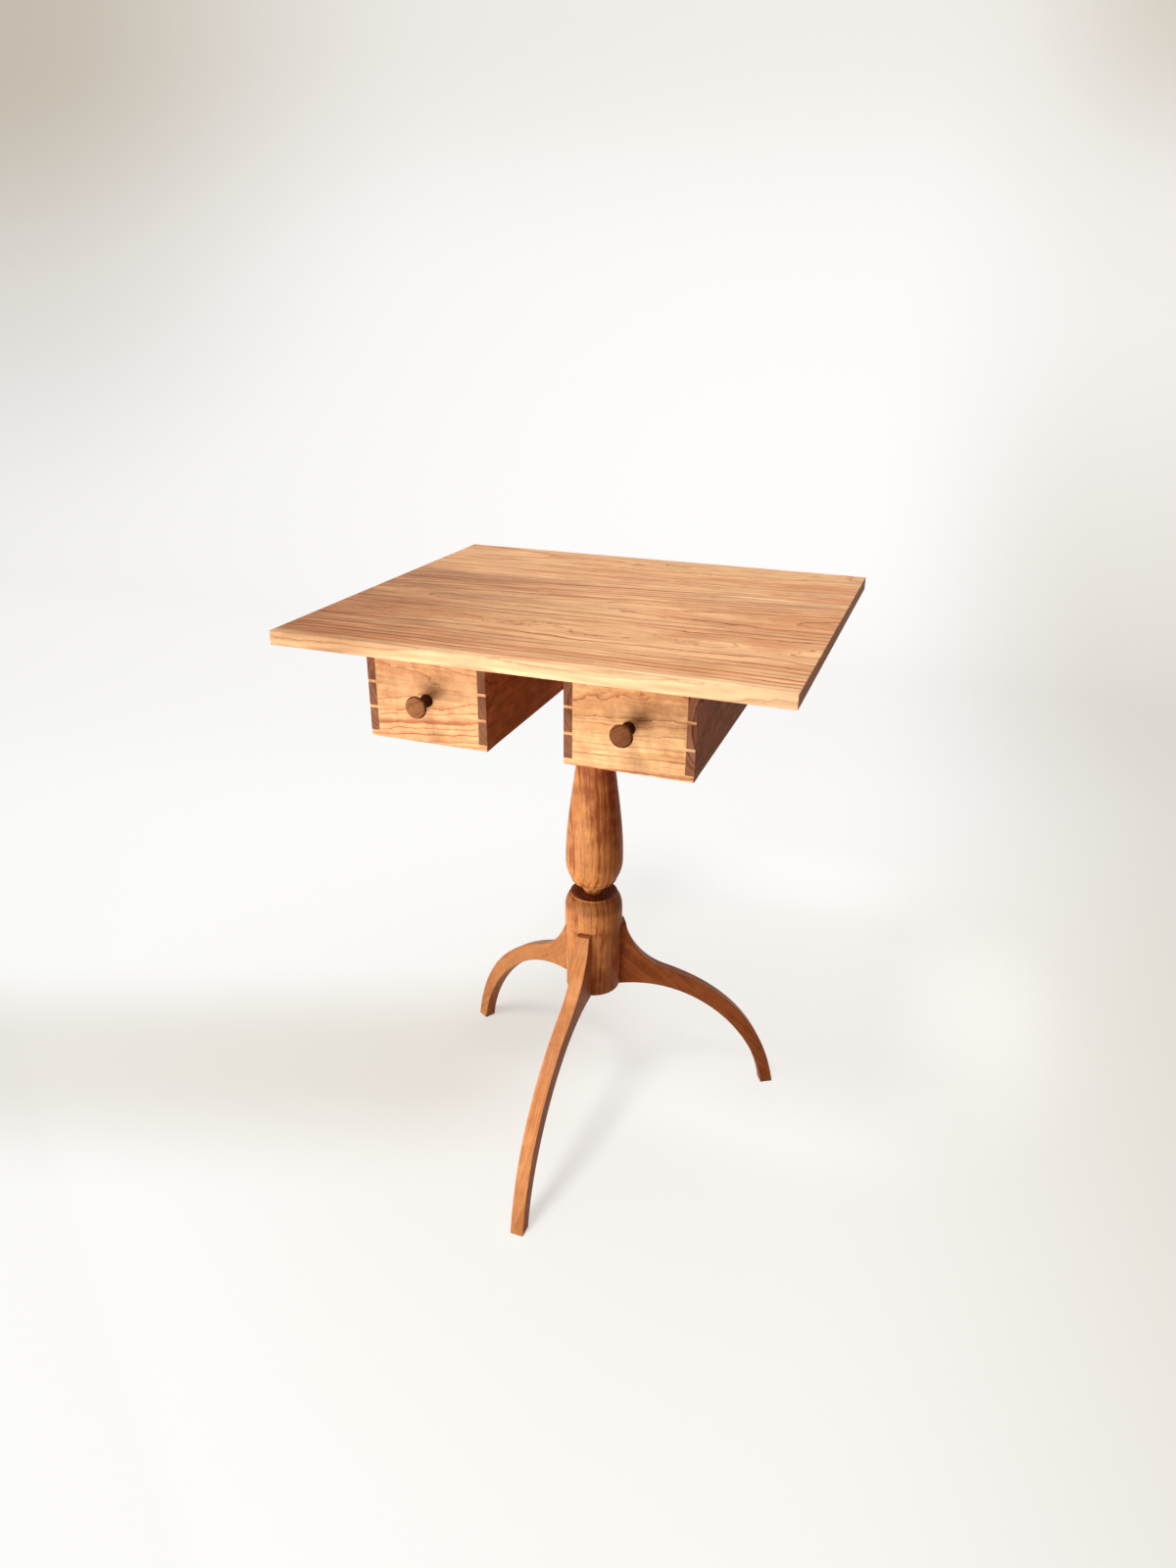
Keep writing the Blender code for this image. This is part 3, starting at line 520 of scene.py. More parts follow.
def add_prism(bm, outline, axis, low, high):
    """Extrudes an outline along X from its (y, z), along Y from its (x, z) or along Z from its (x, y)."""
    turn = {"X": (2, 0, 1), "Y": (0, 2, 1), "Z": (0, 1, 2)}[axis]
    rings = []
    for depth in (low, high):
        corners = [(u, v, depth) for u, v in outline]
        rings.append([bm.verts.new([c[turn[0]], c[turn[1]], c[turn[2]]]) for c in corners])
    bm.faces.new(rings[0])
    bm.faces.new(rings[1])
    for i in range(len(outline)):
        j = (i + 1) % len(outline)
        bm.faces.new((rings[0][i], rings[0][j], rings[1][j], rings[1][i]))


def add_turning(bm, profile, sides):
    """Turns a profile of (radius, z) about Z. Its first and last points lie on the axis."""
    angles = [2 * math.pi * i / sides for i in range(sides)]
    rings = []
    for radius, z in profile[1:-1]:
        rings.append([bm.verts.new((radius * math.cos(a), radius * math.sin(a), z)) for a in angles])
    ends = [bm.verts.new((0, 0, profile[i][1])) for i in (0, -1)]
    for i in range(sides):
        j = (i + 1) % sides
        for upper, lower in zip(rings, rings[1:]):
            bm.faces.new((upper[i], lower[i], lower[j], upper[j]))
        bm.faces.new((ends[0], rings[0][i], rings[0][j]))
        bm.faces.new((ends[1], rings[-1][j], rings[-1][i]))


def ease_edges(bm, width, chosen, segments=3):
    """Rounds the arris of each sharp edge whose middle is chosen."""
    bmesh.ops.recalc_face_normals(bm, faces=bm.faces)
    sharp = [e for e in bm.edges if e.calc_face_angle(0) > EASED_ABOVE]
    eased = [e for e in sharp if chosen((e.verts[0].co + e.verts[1].co) / 2)]
    bmesh.ops.bevel(bm, geom=eased, offset=width, segments=segments, profile=0.5, affect="EDGES")


def curve(start, start_handle, end_handle, end, steps):
    """Points of a cubic curve after its start, up to its end."""
    points = []
    for i in range(1, steps + 1):
        t = i / steps
        weights = ((1 - t) ** 3, 3 * t * (1 - t) ** 2, 3 * t**2 * (1 - t), t**3)
        corners = (start, start_handle, end_handle, end)
        points.append(tuple(sum(w * c[k] for w, c in zip(weights, corners)) for k in (0, 1)))
    return points


def arc(centre, radius_r, radius_z, from_degrees, to_degrees, steps):
    """Points of an elliptical arc in (r, z), its ends included."""
    points = []
    for i in range(steps + 1):
        angle = math.radians(from_degrees + (to_degrees - from_degrees) * i / steps)
        points.append((centre[0] + radius_r * math.cos(angle), centre[1] + radius_z * math.sin(angle)))
    return points


def make_mesh(name, bm, smooth=False):
    bmesh.ops.recalc_face_normals(bm, faces=bm.faces)
    mesh = bpy.data.meshes.new(name)
    bm.to_mesh(mesh)
    bm.free()
    if smooth:
        mesh.shade_smooth()
        mesh.set_sharp_from_angle(angle=SMOOTH_BELOW)
    return mesh


def cut(mesh, tools, operation="DIFFERENCE"):
    """The mesh after cutting the tools' closed meshes from it."""
    target = bpy.data.objects.new("target", mesh)
    helpers = [bpy.data.objects.new("tool", tool) for tool in tools]
    for obj in (target, *helpers):
        bpy.context.scene.collection.objects.link(obj)
    for helper in helpers:
        modifier = target.modifiers.new("cut", "BOOLEAN")
        modifier.operation = operation
        modifier.solver = "EXACT"
        modifier.object = helper
    depsgraph = bpy.context.evaluated_depsgraph_get()
    result = bpy.data.meshes.new_from_object(target.evaluated_get(depsgraph))
    for obj in (target, *helpers):
        bpy.data.objects.remove(obj)
    return result


def place_piece(name, mesh, material, body, slot, *nodes):
    """A finished piece, in the frame's own place, that stands for CAD nodes."""
    mesh.materials.clear()
    mesh.materials.append(material)
    obj = bpy.data.objects.new(name, mesh)
    bpy.context.scene.collection.objects.link(obj)
    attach(obj, body)
    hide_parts(*nodes)
    return obj


def make_top():
    """The top's boards, glued edge to edge and planed flush."""
    half_x, half_y = TOP_WIDTH / 2, TOP_DEPTH / 2
    joints = (-half_y, -half_y + FRONT_BOARD, half_y - REAR_BOARD, half_y)
    # Each board's painted shade darkens it towards the top's left end, which lies in less light
    growth = {
        "front": dict(
            seed=6, pith=(0.046, -0.072), ring=0.0078, taper=-0.004, wave=6.0, sway=0.008, waver=0.0018,
            late=0.0011, lines=1.7, figure=0.45, fine=0.4, sap=(-0.065, -0.084), painted_shade=[(0.06, -0.26, 0.42)],
        ),
        "middle": dict(
            seed=11, pith=(-0.030, -0.064), ring=0.0074, taper=-0.034, drift=0.06, sway=0.004, waver=0.0018,
            late=0.0011, lines=1.7, figure=0.45, fine=0.4, sap=(0.070, 0.092), painted_shade=[(0.06, -0.26, 0.42)],
        ),
        "rear": dict(
            seed=23, pith=(0.050, -0.110), ring=0.0080, taper=0.020, sway=0.010, waver=0.0026, late=0.0011,
            lines=1.3, figure=0.5, fine=0.4, painted_shade=[(-0.05, -0.3, 0.1)],
        ),
    }
    for i, row in enumerate(("front", "middle", "rear")):
        low_y, high_y = joints[i] + STAND_Y, joints[i + 1] + STAND_Y
        middle = (low_y + high_y) / 2
        bm = bmesh.new()
        add_box(bm, (-half_x, low_y, UNDERSIDE), (half_x, high_y, TOP_HEIGHT))

        def outer(m, middle=middle):
            edge = abs(m.y - STAND_Y) > half_y - JOINT
            return edge or (abs(m.x) > half_x - JOINT and abs(m.y - middle) < JOINT)

        ease_edges(bm, TOP_EASE, outer)
        origin = Vector((0, middle, UNDERSIDE + TOP_THICKNESS / 2))
        material = wood(f"cherry_top_{row}", BROAD, origin, X, Y, **growth[row])
        mesh = make_mesh(f"top_{row}", bm)
        place_piece(f"top_{row}", mesh, material, "stand", "cherry", f"top_board_{row}")


def post_profile():
    """The turned post from its tenon down to its foot, as (radius, z)."""
    shoulder = RUNNER_Z - GLUE_GAP
    waist_z = RUNNER_Z - WAIST_DROP
    drum_top = HUB_TOP_Z + DRUM_HEIGHT
    rim_top = drum_top + RIM_HEIGHT
    ring_z = rim_top + COVE_HEIGHT
    belly_z = ring_z + VASE_RING + VASE_FOOT_HEIGHT
    rise = waist_z - belly_z
    foot_angle = math.degrees(math.asin(VASE_FOOT_HEIGHT / VASE_FOOT_ARC))
    vase_foot = arc((VASE_R - VASE_FOOT_ARC, belly_z), VASE_FOOT_ARC, VASE_FOOT_ARC, 0, -foot_angle, 14)
    ring_r = vase_foot[-1][0] + RING_STEP
    dish_r = DRUM_RIM_R - RIM_WIDTH
    ovolo_height = DRUM_HEIGHT - DRUM_STRAIGHT
    profile = [(0, TENON_TOP), (TENON_R, TENON_TOP), (TENON_R, shoulder), (POST_TOP_R, shoulder)]
    profile += curve(
        (POST_TOP_R, shoulder),
        (POST_TOP_R - 0.5 * (POST_TOP_R - WAIST_R), shoulder - 0.3 * WAIST_DROP),
        (WAIST_R, waist_z + 0.45 * WAIST_DROP),
        (WAIST_R, waist_z),
        12,
    )
    profile += curve(
        (WAIST_R, waist_z),
        (WAIST_R, waist_z - 0.48 * rise),
        (VASE_R, belly_z + 0.33 * rise),
        (VASE_R, belly_z),
        40,
    )
    profile += vase_foot[1:]
    profile.append((ring_r - VASE_RING / 2, ring_z + VASE_RING))
    profile += arc((ring_r - VASE_RING / 2, ring_z + VASE_RING / 2), VASE_RING / 2, VASE_RING / 2, 76, -90, 9)
    profile += curve(
        profile[-1],
        (ring_r - 0.15 * (ring_r - NECK_TOP_R), ring_z - 0.2 * COVE_HEIGHT),
        (NECK_TOP_R, ring_z - 0.45 * COVE_HEIGHT),
        (NECK_TOP_R, rim_top + NECK_RISE),
        14,
    )
    profile.append((NECK_R, rim_top - 0.5 * DISH_DEPTH))
    profile += curve(
        profile[-1],
        (NECK_R, rim_top - DISH_DEPTH),
        (NECK_R + 0.6 * (dish_r - NECK_R), rim_top - DISH_DEPTH),
        (dish_r, rim_top - RIM_WIDTH / 2),
        16,
    )
    round_r = RIM_WIDTH / 2
    profile += arc((dish_r + round_r, rim_top - round_r), round_r, round_r, 180, 0, 8)[1:]
    ovolo_r = OVOLO_SPREAD * (DRUM_R - DRUM_RIM_R)
    ovolo_z = ovolo_height / math.sin(math.radians(OVOLO_DEGREES))
    profile += arc((DRUM_R - ovolo_r, drum_top - ovolo_height), ovolo_r, ovolo_z, OVOLO_DEGREES, 0, 18)
    profile += [
        (DRUM_R, HUB_TOP_Z + DRUM_EASE),
        (DRUM_R - DRUM_EASE, HUB_TOP_Z),
        (HUB_R, HUB_TOP_Z),
        (HUB_R, POST_FOOT_Z + POST_EASE),
        (HUB_R - 0.3 * POST_EASE, POST_FOOT_Z + 0.3 * POST_EASE),
        (HUB_R - POST_EASE, POST_FOOT_Z),
        (0, POST_FOOT_Z),
    ]
    return profile


def tongue_outline(clearance):
    """The dovetail of a leg in plan, running out through the hub's flat, as (out, across)."""
    neck = TONGUE_NECK / 2 + clearance
    wide = TONGUE_WIDE / 2 + clearance
    inner = HUB_FLAT - TONGUE_DEPTH - clearance
    outer = HUB_FLAT + PAST
    return [(inner, -wide), (HUB_FLAT, -neck), (outer, -neck), (outer, neck), (HUB_FLAT, neck), (inner, wide)]


def leg_matrix(degrees):
    return Matrix.Translation((0, STAND_Y, 0)) @ Matrix.Rotation(math.radians(degrees), 4, "Z")


def make_post():
    """The turned post, with flats and sockets for the legs and a kerf for its wedge."""
    bm = bmesh.new()
    add_turning(bm, post_profile(), POST_SIDES)
    mesh = make_mesh("post", bm, smooth=True)
    mesh.transform(Matrix.Translation((0, STAND_Y, 0)))
    tools = []
    for degrees in LEG_ANGLES.values():
        bm = bmesh.new()
        add_box(bm, (HUB_FLAT, -LEG_THICKNESS, POST_FOOT_Z - PAST), (HUB_R + PAST, LEG_THICKNESS, HUB_TOP_Z))
        tools.append(make_mesh("flat", bm))
        bm = bmesh.new()
        add_prism(bm, tongue_outline(JOINT), "Z", POST_FOOT_Z - PAST, TONGUE_TOP_Z + JOINT)
        tools.append(make_mesh("socket", bm))
        for tool in tools[-2:]:
            tool.transform(leg_matrix(degrees))
    low, high = TENON_TOP - WEDGE_HEIGHT - WEDGE_GAP, TENON_TOP + PAST
    thick, thin = WEDGE_THICK / 2 + WEDGE_GAP, WEDGE_THIN / 2 + WEDGE_GAP
    bm = bmesh.new()
    kerf = [(STAND_Y - thin, low), (STAND_Y + thin, low), (STAND_Y + thick, high), (STAND_Y - thick, high)]
    add_prism(bm, kerf, "X", -TENON_R - PAST, TENON_R + PAST)
    tools.append(make_mesh("kerf", bm))
    mesh = cut(mesh, tools)
    mesh.set_sharp_from_angle(angle=SMOOTH_BELOW)
    # The painted shade is a dark band on the drum's shoulder, in the shade under the vase and the top
    material = wood(
        "cherry_post", TURNED, (0, STAND_Y, 0.45), Z, X, 31, pith=(0.090, 0.050), ring=0.0074,
        taper=0.006, sway=0.006, waver=0.0026, late=0.0013, lines=0.6, streaks=1.25, figure=0.9,
        painted_shade=[(-0.134, -0.120, 0.3), (-0.108, -0.103, -0.28)],
    )
    place_piece("turned_post", mesh, material, "stand", "turned_cherry", "post")


def leg_outline():
    """A leg seen from its side, as (distance from the post's axis, z), from its top round by its toe."""
    shoulder = HUB_FLAT + JOINT
    heel = LEG_REACH - FOOT_LENGTH
    knee = (shoulder + KNEE_OUT, LEG_TOP_Z - KNEE_DROP)
    along = Vector((1, -KNEE_SLOPE)).normalized()
    rise, run = knee[1], LEG_REACH - knee[0]
    outline = [(shoulder, LEG_TOP_Z), (shoulder + LEG_LAND, LEG_TOP_Z)]
    outline += curve(
        outline[1],
        (shoulder + LEG_LAND + 0.02 * KNEE_OUT, LEG_TOP_Z - 0.14 * KNEE_DROP),
        (knee[0] - 0.76 * KNEE_OUT * along.x, knee[1] - 0.76 * KNEE_OUT * along.y),
        knee,
        30,
    )
    outline += curve(
        knee,
        (knee[0] + 0.55 * run * along.x, knee[1] + 0.55 * run * along.y),
        (LEG_REACH - 0.12 * run, 0.52 * rise),
        (LEG_REACH, 0),
        40,
    )
    outline.append((heel, 0))
    outline += curve(
        (heel, 0),
        (heel - 0.058 * heel, 0.47 * LEG_LOW_Z),
        (shoulder + 0.49 * (heel - shoulder), LEG_LOW_Z),
        (shoulder, LEG_LOW_Z),
        60,
    )
    return outline


def make_leg(name, degrees, look, seed):
    """A sawn leg, thinner towards its foot, with its dovetail."""
    shoulder = HUB_FLAT + JOINT
    bm = bmesh.new()
    add_prism(bm, leg_outline(), "Y", -0.5, 0.5)
    for vert in bm.verts:
        share = (vert.co.x - shoulder) / (LEG_REACH - shoulder)
        vert.co.y *= LEG_THICKNESS + (FOOT_THICKNESS - LEG_THICKNESS) * share
    ease_edges(bm, LEG_EASE, lambda m: m.x > shoulder + JOINT and abs(m.y) > JOINT, 4)
    mesh = make_mesh(f"{name}_leg", bm, smooth=True)
    bm = bmesh.new()
    add_prism(bm, tongue_outline(0), "Z", POST_FOOT_Z, TONGUE_TOP_Z)
    mesh = cut(mesh, [make_mesh("tongue", bm)], "UNION")
    mesh.set_sharp_from_angle(angle=SMOOTH_BELOW)
    place = leg_matrix(degrees)
    mesh.transform(place)
    turn = place.to_3x3()
    grain = turn @ LEG_GRAIN
    across = turn @ Vector((-LEG_GRAIN.z, 0, LEG_GRAIN.x))
    material = wood(
        f"cherry_{name}_leg", look, place @ LEG_MIDDLE, grain, across, seed,
        pith=(0.05, 0.075), ring=0.0090, taper=0.012, sway=0.004, waver=0.0014, lines=0.06,
    )
    leg = place_piece(f"sawn_{name}_leg", mesh, material, "stand", "turned_cherry", f"{name}_leg")
    modifier = leg.modifiers.new("even_shading", "WEIGHTED_NORMAL")
    modifier.keep_sharp = True
    modifier.weight = 80


def pin_edges():
    """Lower and upper edges of the pins at a joint's outer face, from the lowest half pin up."""
    tail = (DRAWER_HEIGHT - 2 * HALF_PIN - (TAILS - 1) * PIN_WIDTH) / TAILS
    edges = [(-PAST, HALF_PIN)]
    for i in range(1, TAILS):
        low = HALF_PIN + i * tail + (i - 1) * PIN_WIDTH
        edges.append((low, low + PIN_WIDTH))
    edges.append((DRAWER_HEIGHT - HALF_PIN, DRAWER_HEIGHT + PAST))
    return edges


def wedge_between(low, high, face_y, inward, depth, slope, clearance):
    """A pin or tail seen from the drawer's side: (y, z) from past its outer face in to its baseline."""
    before, after = -PAST, depth + clearance
    low -= clearance
    high += clearance
    return [
        (face_y + inward * before, low - slope * before),
        (face_y + inward * after, low - slope * after),
        (face_y + inward * after, high + slope * after),
        (face_y + inward * before, high + slope * before),
    ]


def add_pin_slots(bm, face_y, inward, depth, low_x, high_x, with_lowest):
    """Cuts between the tails of a side: they take the pins of the front or the back."""
    for low, high in pin_edges()[0 if with_lowest else 1 :]:
        outline = wedge_between(low, high, face_y, inward, depth, TAIL_SLOPE, JOINT)
        add_prism(bm, outline, "X", low_x, high_x)


def add_tail_sockets(bm, face_y, inward, depth, low_x, high_x, from_below):
    """Cuts between the pins of a front or back: they take the tails of a side."""
    edges = pin_edges()
    for i, (below, above) in enumerate(zip(edges, edges[1:])):
        low = -PAST if from_below and i == 0 else below[1]
        outline = wedge_between(low, above[0], face_y, inward, depth + PAST, -TAIL_SLOPE, 0)
        add_prism(bm, outline, "X", low_x, high_x)


def drawer_front_mesh():
    half = DRAWER_WIDTH / 2
    inner = half - SIDE_THICKNESS
    bm = bmesh.new()
    add_box(bm, (-half, 0, 0), (half, FRONT_THICKNESS, DRAWER_HEIGHT))
    ease_edges(bm, DRAWER_EASE, lambda m: m.y < JOINT)
    front = make_mesh("front", bm)
    tools = []
    bm = bmesh.new()
    for low_x, high_x in ((-half - PAST, -inner + JOINT), (inner - JOINT, half + PAST)):
        add_tail_sockets(bm, 0, 1, FRONT_THICKNESS, low_x, high_x, False)
    tools.append(make_mesh("sockets", bm))
    bm = bmesh.new()
    tongue = inner - TONGUE_MARGIN + GROOVE_GAP
    low = (-tongue, FRONT_THICKNESS - GROOVE_DEPTH, BOTTOM_LIFT - GROOVE_GAP)
    add_box(bm, low, (tongue, FRONT_THICKNESS + PAST, BOTTOM_LIFT + BOTTOM_THICKNESS + GROOVE_GAP))
    tools.append(make_mesh("groove", bm))
    bm = bmesh.new()
    radius, inside = KNOB_TENON_R + JOINT, -FRONT_THICKNESS - PAST
    add_turning(bm, [(0, PAST), (radius, PAST), (radius, inside), (0, inside)], KNOB_SIDES)
    hole = make_mesh("hole", bm)
    hole.transform(Matrix.Translation((0, 0, DRAWER_HEIGHT / 2)) @ Matrix.Rotation(math.pi / 2, 4, "X"))
    tools.append(hole)
    return cut(front, tools)


def drawer_side_mesh(sign):
    outer = sign * DRAWER_WIDTH / 2
    inner = sign * (DRAWER_WIDTH / 2 - SIDE_THICKNESS)
    low_x, high_x = min(outer, inner), max(outer, inner)
    bm = bmesh.new()
    add_box(bm, (low_x, 0, 0), (high_x, DRAWER_DEPTH, DRAWER_HEIGHT))
    ease_edges(bm, DRAWER_EASE, lambda m: abs(m.x - outer) < JOINT and JOINT < m.y < DRAWER_DEPTH - JOINT)
    side = make_mesh("side", bm)
    bm = bmesh.new()
    add_pin_slots(bm, 0, 1, FRONT_THICKNESS, low_x - PAST, high_x + PAST, True)
    add_pin_slots(bm, DRAWER_DEPTH, -1, BACK_THICKNESS, low_x - PAST, high_x + PAST, False)
    pins = make_mesh("pins", bm)
    groove = sorted((inner + sign * GROOVE_DEPTH, inner - sign * PAST))
    bm = bmesh.new()
    low = (groove[0], FRONT_THICKNESS, BOTTOM_LIFT - GROOVE_GAP)
    add_box(bm, low, (groove[1], DRAWER_DEPTH + PAST, BOTTOM_LIFT + BOTTOM_THICKNESS + GROOVE_GAP))
    return cut(side, [pins, make_mesh("groove", bm)])


def drawer_back_mesh(screw_hole):
    half = DRAWER_WIDTH / 2
    inner = half - SIDE_THICKNESS
    low_z = BOTTOM_LIFT + BOTTOM_THICKNESS + GROOVE_GAP
    bm = bmesh.new()
    add_box(bm, (-half, DRAWER_DEPTH - BACK_THICKNESS, low_z), (half, DRAWER_DEPTH, DRAWER_HEIGHT))
    ease_edges(bm, DRAWER_EASE, lambda m: m.y > DRAWER_DEPTH - JOINT)
    back = make_mesh("back", bm)
    bm = bmesh.new()
    for low_x, high_x in ((-half - PAST, -inner + JOINT), (inner - JOINT, half + PAST)):
        add_tail_sockets(bm, DRAWER_DEPTH, -1, BACK_THICKNESS, low_x, high_x, True)
    return cut(back, [make_mesh("sockets", bm), screw_hole])


def knob_mesh():
    """A turned mushroom knob with a tenon through the front, pointing up."""
    rim_z = KNOB_REACH - KNOB_DOME
    under_rim = (KNOB_R - KNOB_RIM / 3, rim_z - KNOB_RIM)
    tenon_end = -FRONT_THICKNESS + JOINT
    profile = [(0, KNOB_REACH)]
    profile += arc((0, rim_z + KNOB_DOME / 6), KNOB_R - KNOB_DOME / 6, KNOB_DOME * 5 / 6, 86, 8, 16)
    profile += arc((KNOB_R - KNOB_ARRIS_R, rim_z - KNOB_ARRIS_DROP), KNOB_ARRIS_R, KNOB_ARRIS_Z, 60, -40, 5)
    profile += [under_rim]
    profile += curve(
        under_rim,
        (0.55 * under_rim[0] + 0.45 * KNOB_NECK_R, rim_z - 2.2 * KNOB_RIM),
        (KNOB_NECK_R, 0.4 * rim_z + 0.6 * KNOB_NECK_Z),
        (KNOB_NECK_R, KNOB_NECK_Z),
        16,
    )
    profile += curve(
        (KNOB_NECK_R, KNOB_NECK_Z),
        (KNOB_NECK_R, 0.45 * KNOB_NECK_Z),
        (KNOB_BASE_R, 0.35 * KNOB_NECK_Z),
        (KNOB_BASE_R, JOINT),
        12,
    )
    profile += [(KNOB_TENON_R, JOINT), (KNOB_TENON_R, tenon_end), (0, tenon_end)]
    bm = bmesh.new()
    add_turning(bm, profile, KNOB_SIDES)
    return make_mesh("knob", bm, smooth=True)


def screw_profile(reach, shank_r, head_r, clearance=0.0):
    """A countersunk screw pointing up, its head's face at z = 0. With a clearance it is the hole for one."""
    profile = [
        (0, reach + clearance),
        (0.2 * shank_r + clearance, reach + clearance),
        (shank_r + clearance, reach - 3 * shank_r),
        (shank_r + clearance, head_r - shank_r),
        (head_r + clearance, 0),
    ]
    if clearance:
        return profile + [(head_r + clearance, -PAST), (0, -PAST)]
    return profile + [(0, 0)]


def screw_hole_mesh(place, reach, shank_r, head_r):
    bm = bmesh.new()
    add_turning(bm, screw_profile(reach, shank_r, head_r, GROOVE_GAP), SCREW_SIDES)
    mesh = make_mesh("screw_hole", bm)
    mesh.transform(Matrix.Translation(place))
    return mesh


def make_screws(material):
    """Slotted screws, each in its CAD screw's place and turned as it was driven."""
    names = sorted(n for n in frame["nodes"] if "screw" in n)
    for i, name in enumerate(names):
        low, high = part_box(name)
        head_r = (high.x - low.x) / 2
        shank_r = head_r * (BOTTOM_SCREW_SHANK if "bottom" in name else TOP_SCREW_SHANK)
        bm = bmesh.new()
        add_turning(bm, screw_profile(high.z - low.z, shank_r, head_r), SCREW_SIDES)
        mesh = make_mesh(name, bm, smooth=True)
        bm = bmesh.new()
        add_box(bm, (-head_r - PAST, -SCREW_SLOT / 2, -PAST), (head_r + PAST, SCREW_SLOT / 2, SCREW_SLOT))
        mesh = cut(mesh, [make_mesh("slot", bm)])
        mesh.set_sharp_from_angle(angle=SMOOTH_BELOW)
        middle = (low + high) / 2
        place = Matrix.Translation((middle.x, middle.y, low.z))
        mesh.transform(place @ Matrix.Rotation(SCREW_TURN * i, 4, "Z"))
        body = frame["nodes"][name]["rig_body"]
        place_piece(f"slotted_{name}", mesh, material, body, "brass", name)


def make_drawer(name, hand, seed, front_look, knob_look, front_growth):
    """A drawer in its own frame: front face at y = 0, lower edge at z = 0, middle at x = 0."""
    place = Matrix.Translation((hand * DRAWER_X, DRAWER_Y, DRAWER_Z))
    middle = place @ Vector((0, 0, DRAWER_HEIGHT / 2))

    front = drawer_front_mesh()
    front.transform(place)
    cherry = wood(f"cherry_{name}_front", front_look, middle, X, Z, seed, **front_growth)
    place_piece(f"{name}_cherry_front", front, cherry, name, "cherry", f"{name}_front")

    low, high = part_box(f"{name}_bottom_screw")
    sizes = (high.z - low.z, BOTTOM_SCREW_R, (high.x - low.x) / 2)
    screw_place = place.inverted() @ Vector(((low.x + high.x) / 2, (low.y + high.y) / 2, low.z))
    back = drawer_back_mesh(screw_hole_mesh(screw_place, *sizes))
    back.transform(place)
    rear = middle + DRAWER_DEPTH * Y
    walnut = wood(f"walnut_{name}_back", WALNUT, rear, X, Z, seed + 1, pith=(0.02, 0.06), ring=0.0046)
    place_piece(f"{name}_walnut_back", back, walnut, name, "walnut", f"{name}_back")

    for i, (side, sign) in enumerate((("inner", -hand), ("outer", hand))):
        mesh = drawer_side_mesh(sign)
        mesh.transform(place)
        origin = middle + sign * DRAWER_WIDTH / 2 * X
        walnut = wood(
            f"walnut_{name}_{side}", PAINTED_LIGHT_WALNUT if sign > 0 else WALNUT, origin, Y, Z, seed + 2 + i,
            pith=(0.015, 0.05), ring=0.0062, taper=0.06, sway=0.006, lines=0.5 if side == "inner" else 1.0,
        )
        place_piece(f"{name}_walnut_{side}", mesh, walnut, name, "walnut", f"{name}_{side}_side")

    knob = knob_mesh()
    knob.transform(Matrix.Translation(middle) @ Matrix.Rotation(math.pi / 2, 4, "X"))
    # The painted shade darkens the knob from the edge of its face back to its stem, in the shade under its
    # head
    walnut = wood(
        f"walnut_{name}_knob", knob_look, middle, Y, X, seed + 5, pith=(0.02, 0.03), ring=0.0036,
        painted_shade=[(-0.0253, -0.0240, 0.4), (-0.0236, -0.0222, 0.4)],
    )
    place_piece(f"{name}_turned_knob", knob, walnut, name, "walnut", f"{name}_knob")

    dress(f"{name}_bottom", wood(
        f"cherry_{name}_bottom", CHERRY, middle + 0.22 * Y, X, Y, seed + 6, pith=(0.03, -0.05), ring=0.006,
        taper=0.01,
    ))
    for side in ("inner", "outer"):
        dress(f"{name}_{side}_lip", wood(
            f"walnut_{name}_{side}_lip", WALNUT, middle, Y, X, seed + 7, pith=(0.06, 0.04), ring=0.0042,
        ))


def dress(node, material):
    """Gives a CAD node that shows its finished material."""
    mesh = frame["nodes"][node].data
    mesh.materials.clear()
    mesh.materials.append(material)


def make_hidden_woods():
    """Woods for the pieces under the top."""
    under = Vector((0, STAND_Y, UNDERSIDE))
    dress("yoke", wood("cherry_yoke", CHERRY, under, Y, X, 61, pith=(0.01, 0.07), ring=0.0056, taper=0.01))
    for i, side in enumerate(("left", "right")):
        dress(f"{side}_runner", wood(
            f"cherry_{side}_runner", CHERRY, under, Y, X, 63 + i, pith=(0.05, 0.08), ring=0.0052,
        ))
    dress("post_wedge", wood("walnut_wedge", WALNUT, under, Z, X, 67, pith=(0.03, 0.03), ring=0.004))


def stage_mesh():
    """A floor that sweeps up into a backdrop."""
    outline = [(FLOOR_FRONT, 0.0)]
    for i in range(SWEEP_STEPS + 1):
        angle = math.radians(90 * i / SWEEP_STEPS)
        outline.append((FLOOR_BACK + SWEEP_R * math.sin(angle), SWEEP_R - SWEEP_R * math.cos(angle)))
    outline.append((FLOOR_BACK + SWEEP_R, BACKDROP_HEIGHT))
    bm = bmesh.new()
    rows = [[bm.verts.new((x, y, z)) for x in (-STAGE_WIDTH / 2, STAGE_WIDTH / 2)] for y, z in outline]
    for a, b in zip(rows, rows[1:]):
        bm.faces.new((a[0], a[1], b[1], b[0]))
    mesh = bpy.data.meshes.new("backdrop")
    bm.to_mesh(mesh)
    bm.free()
    mesh.shade_smooth()
    return mesh


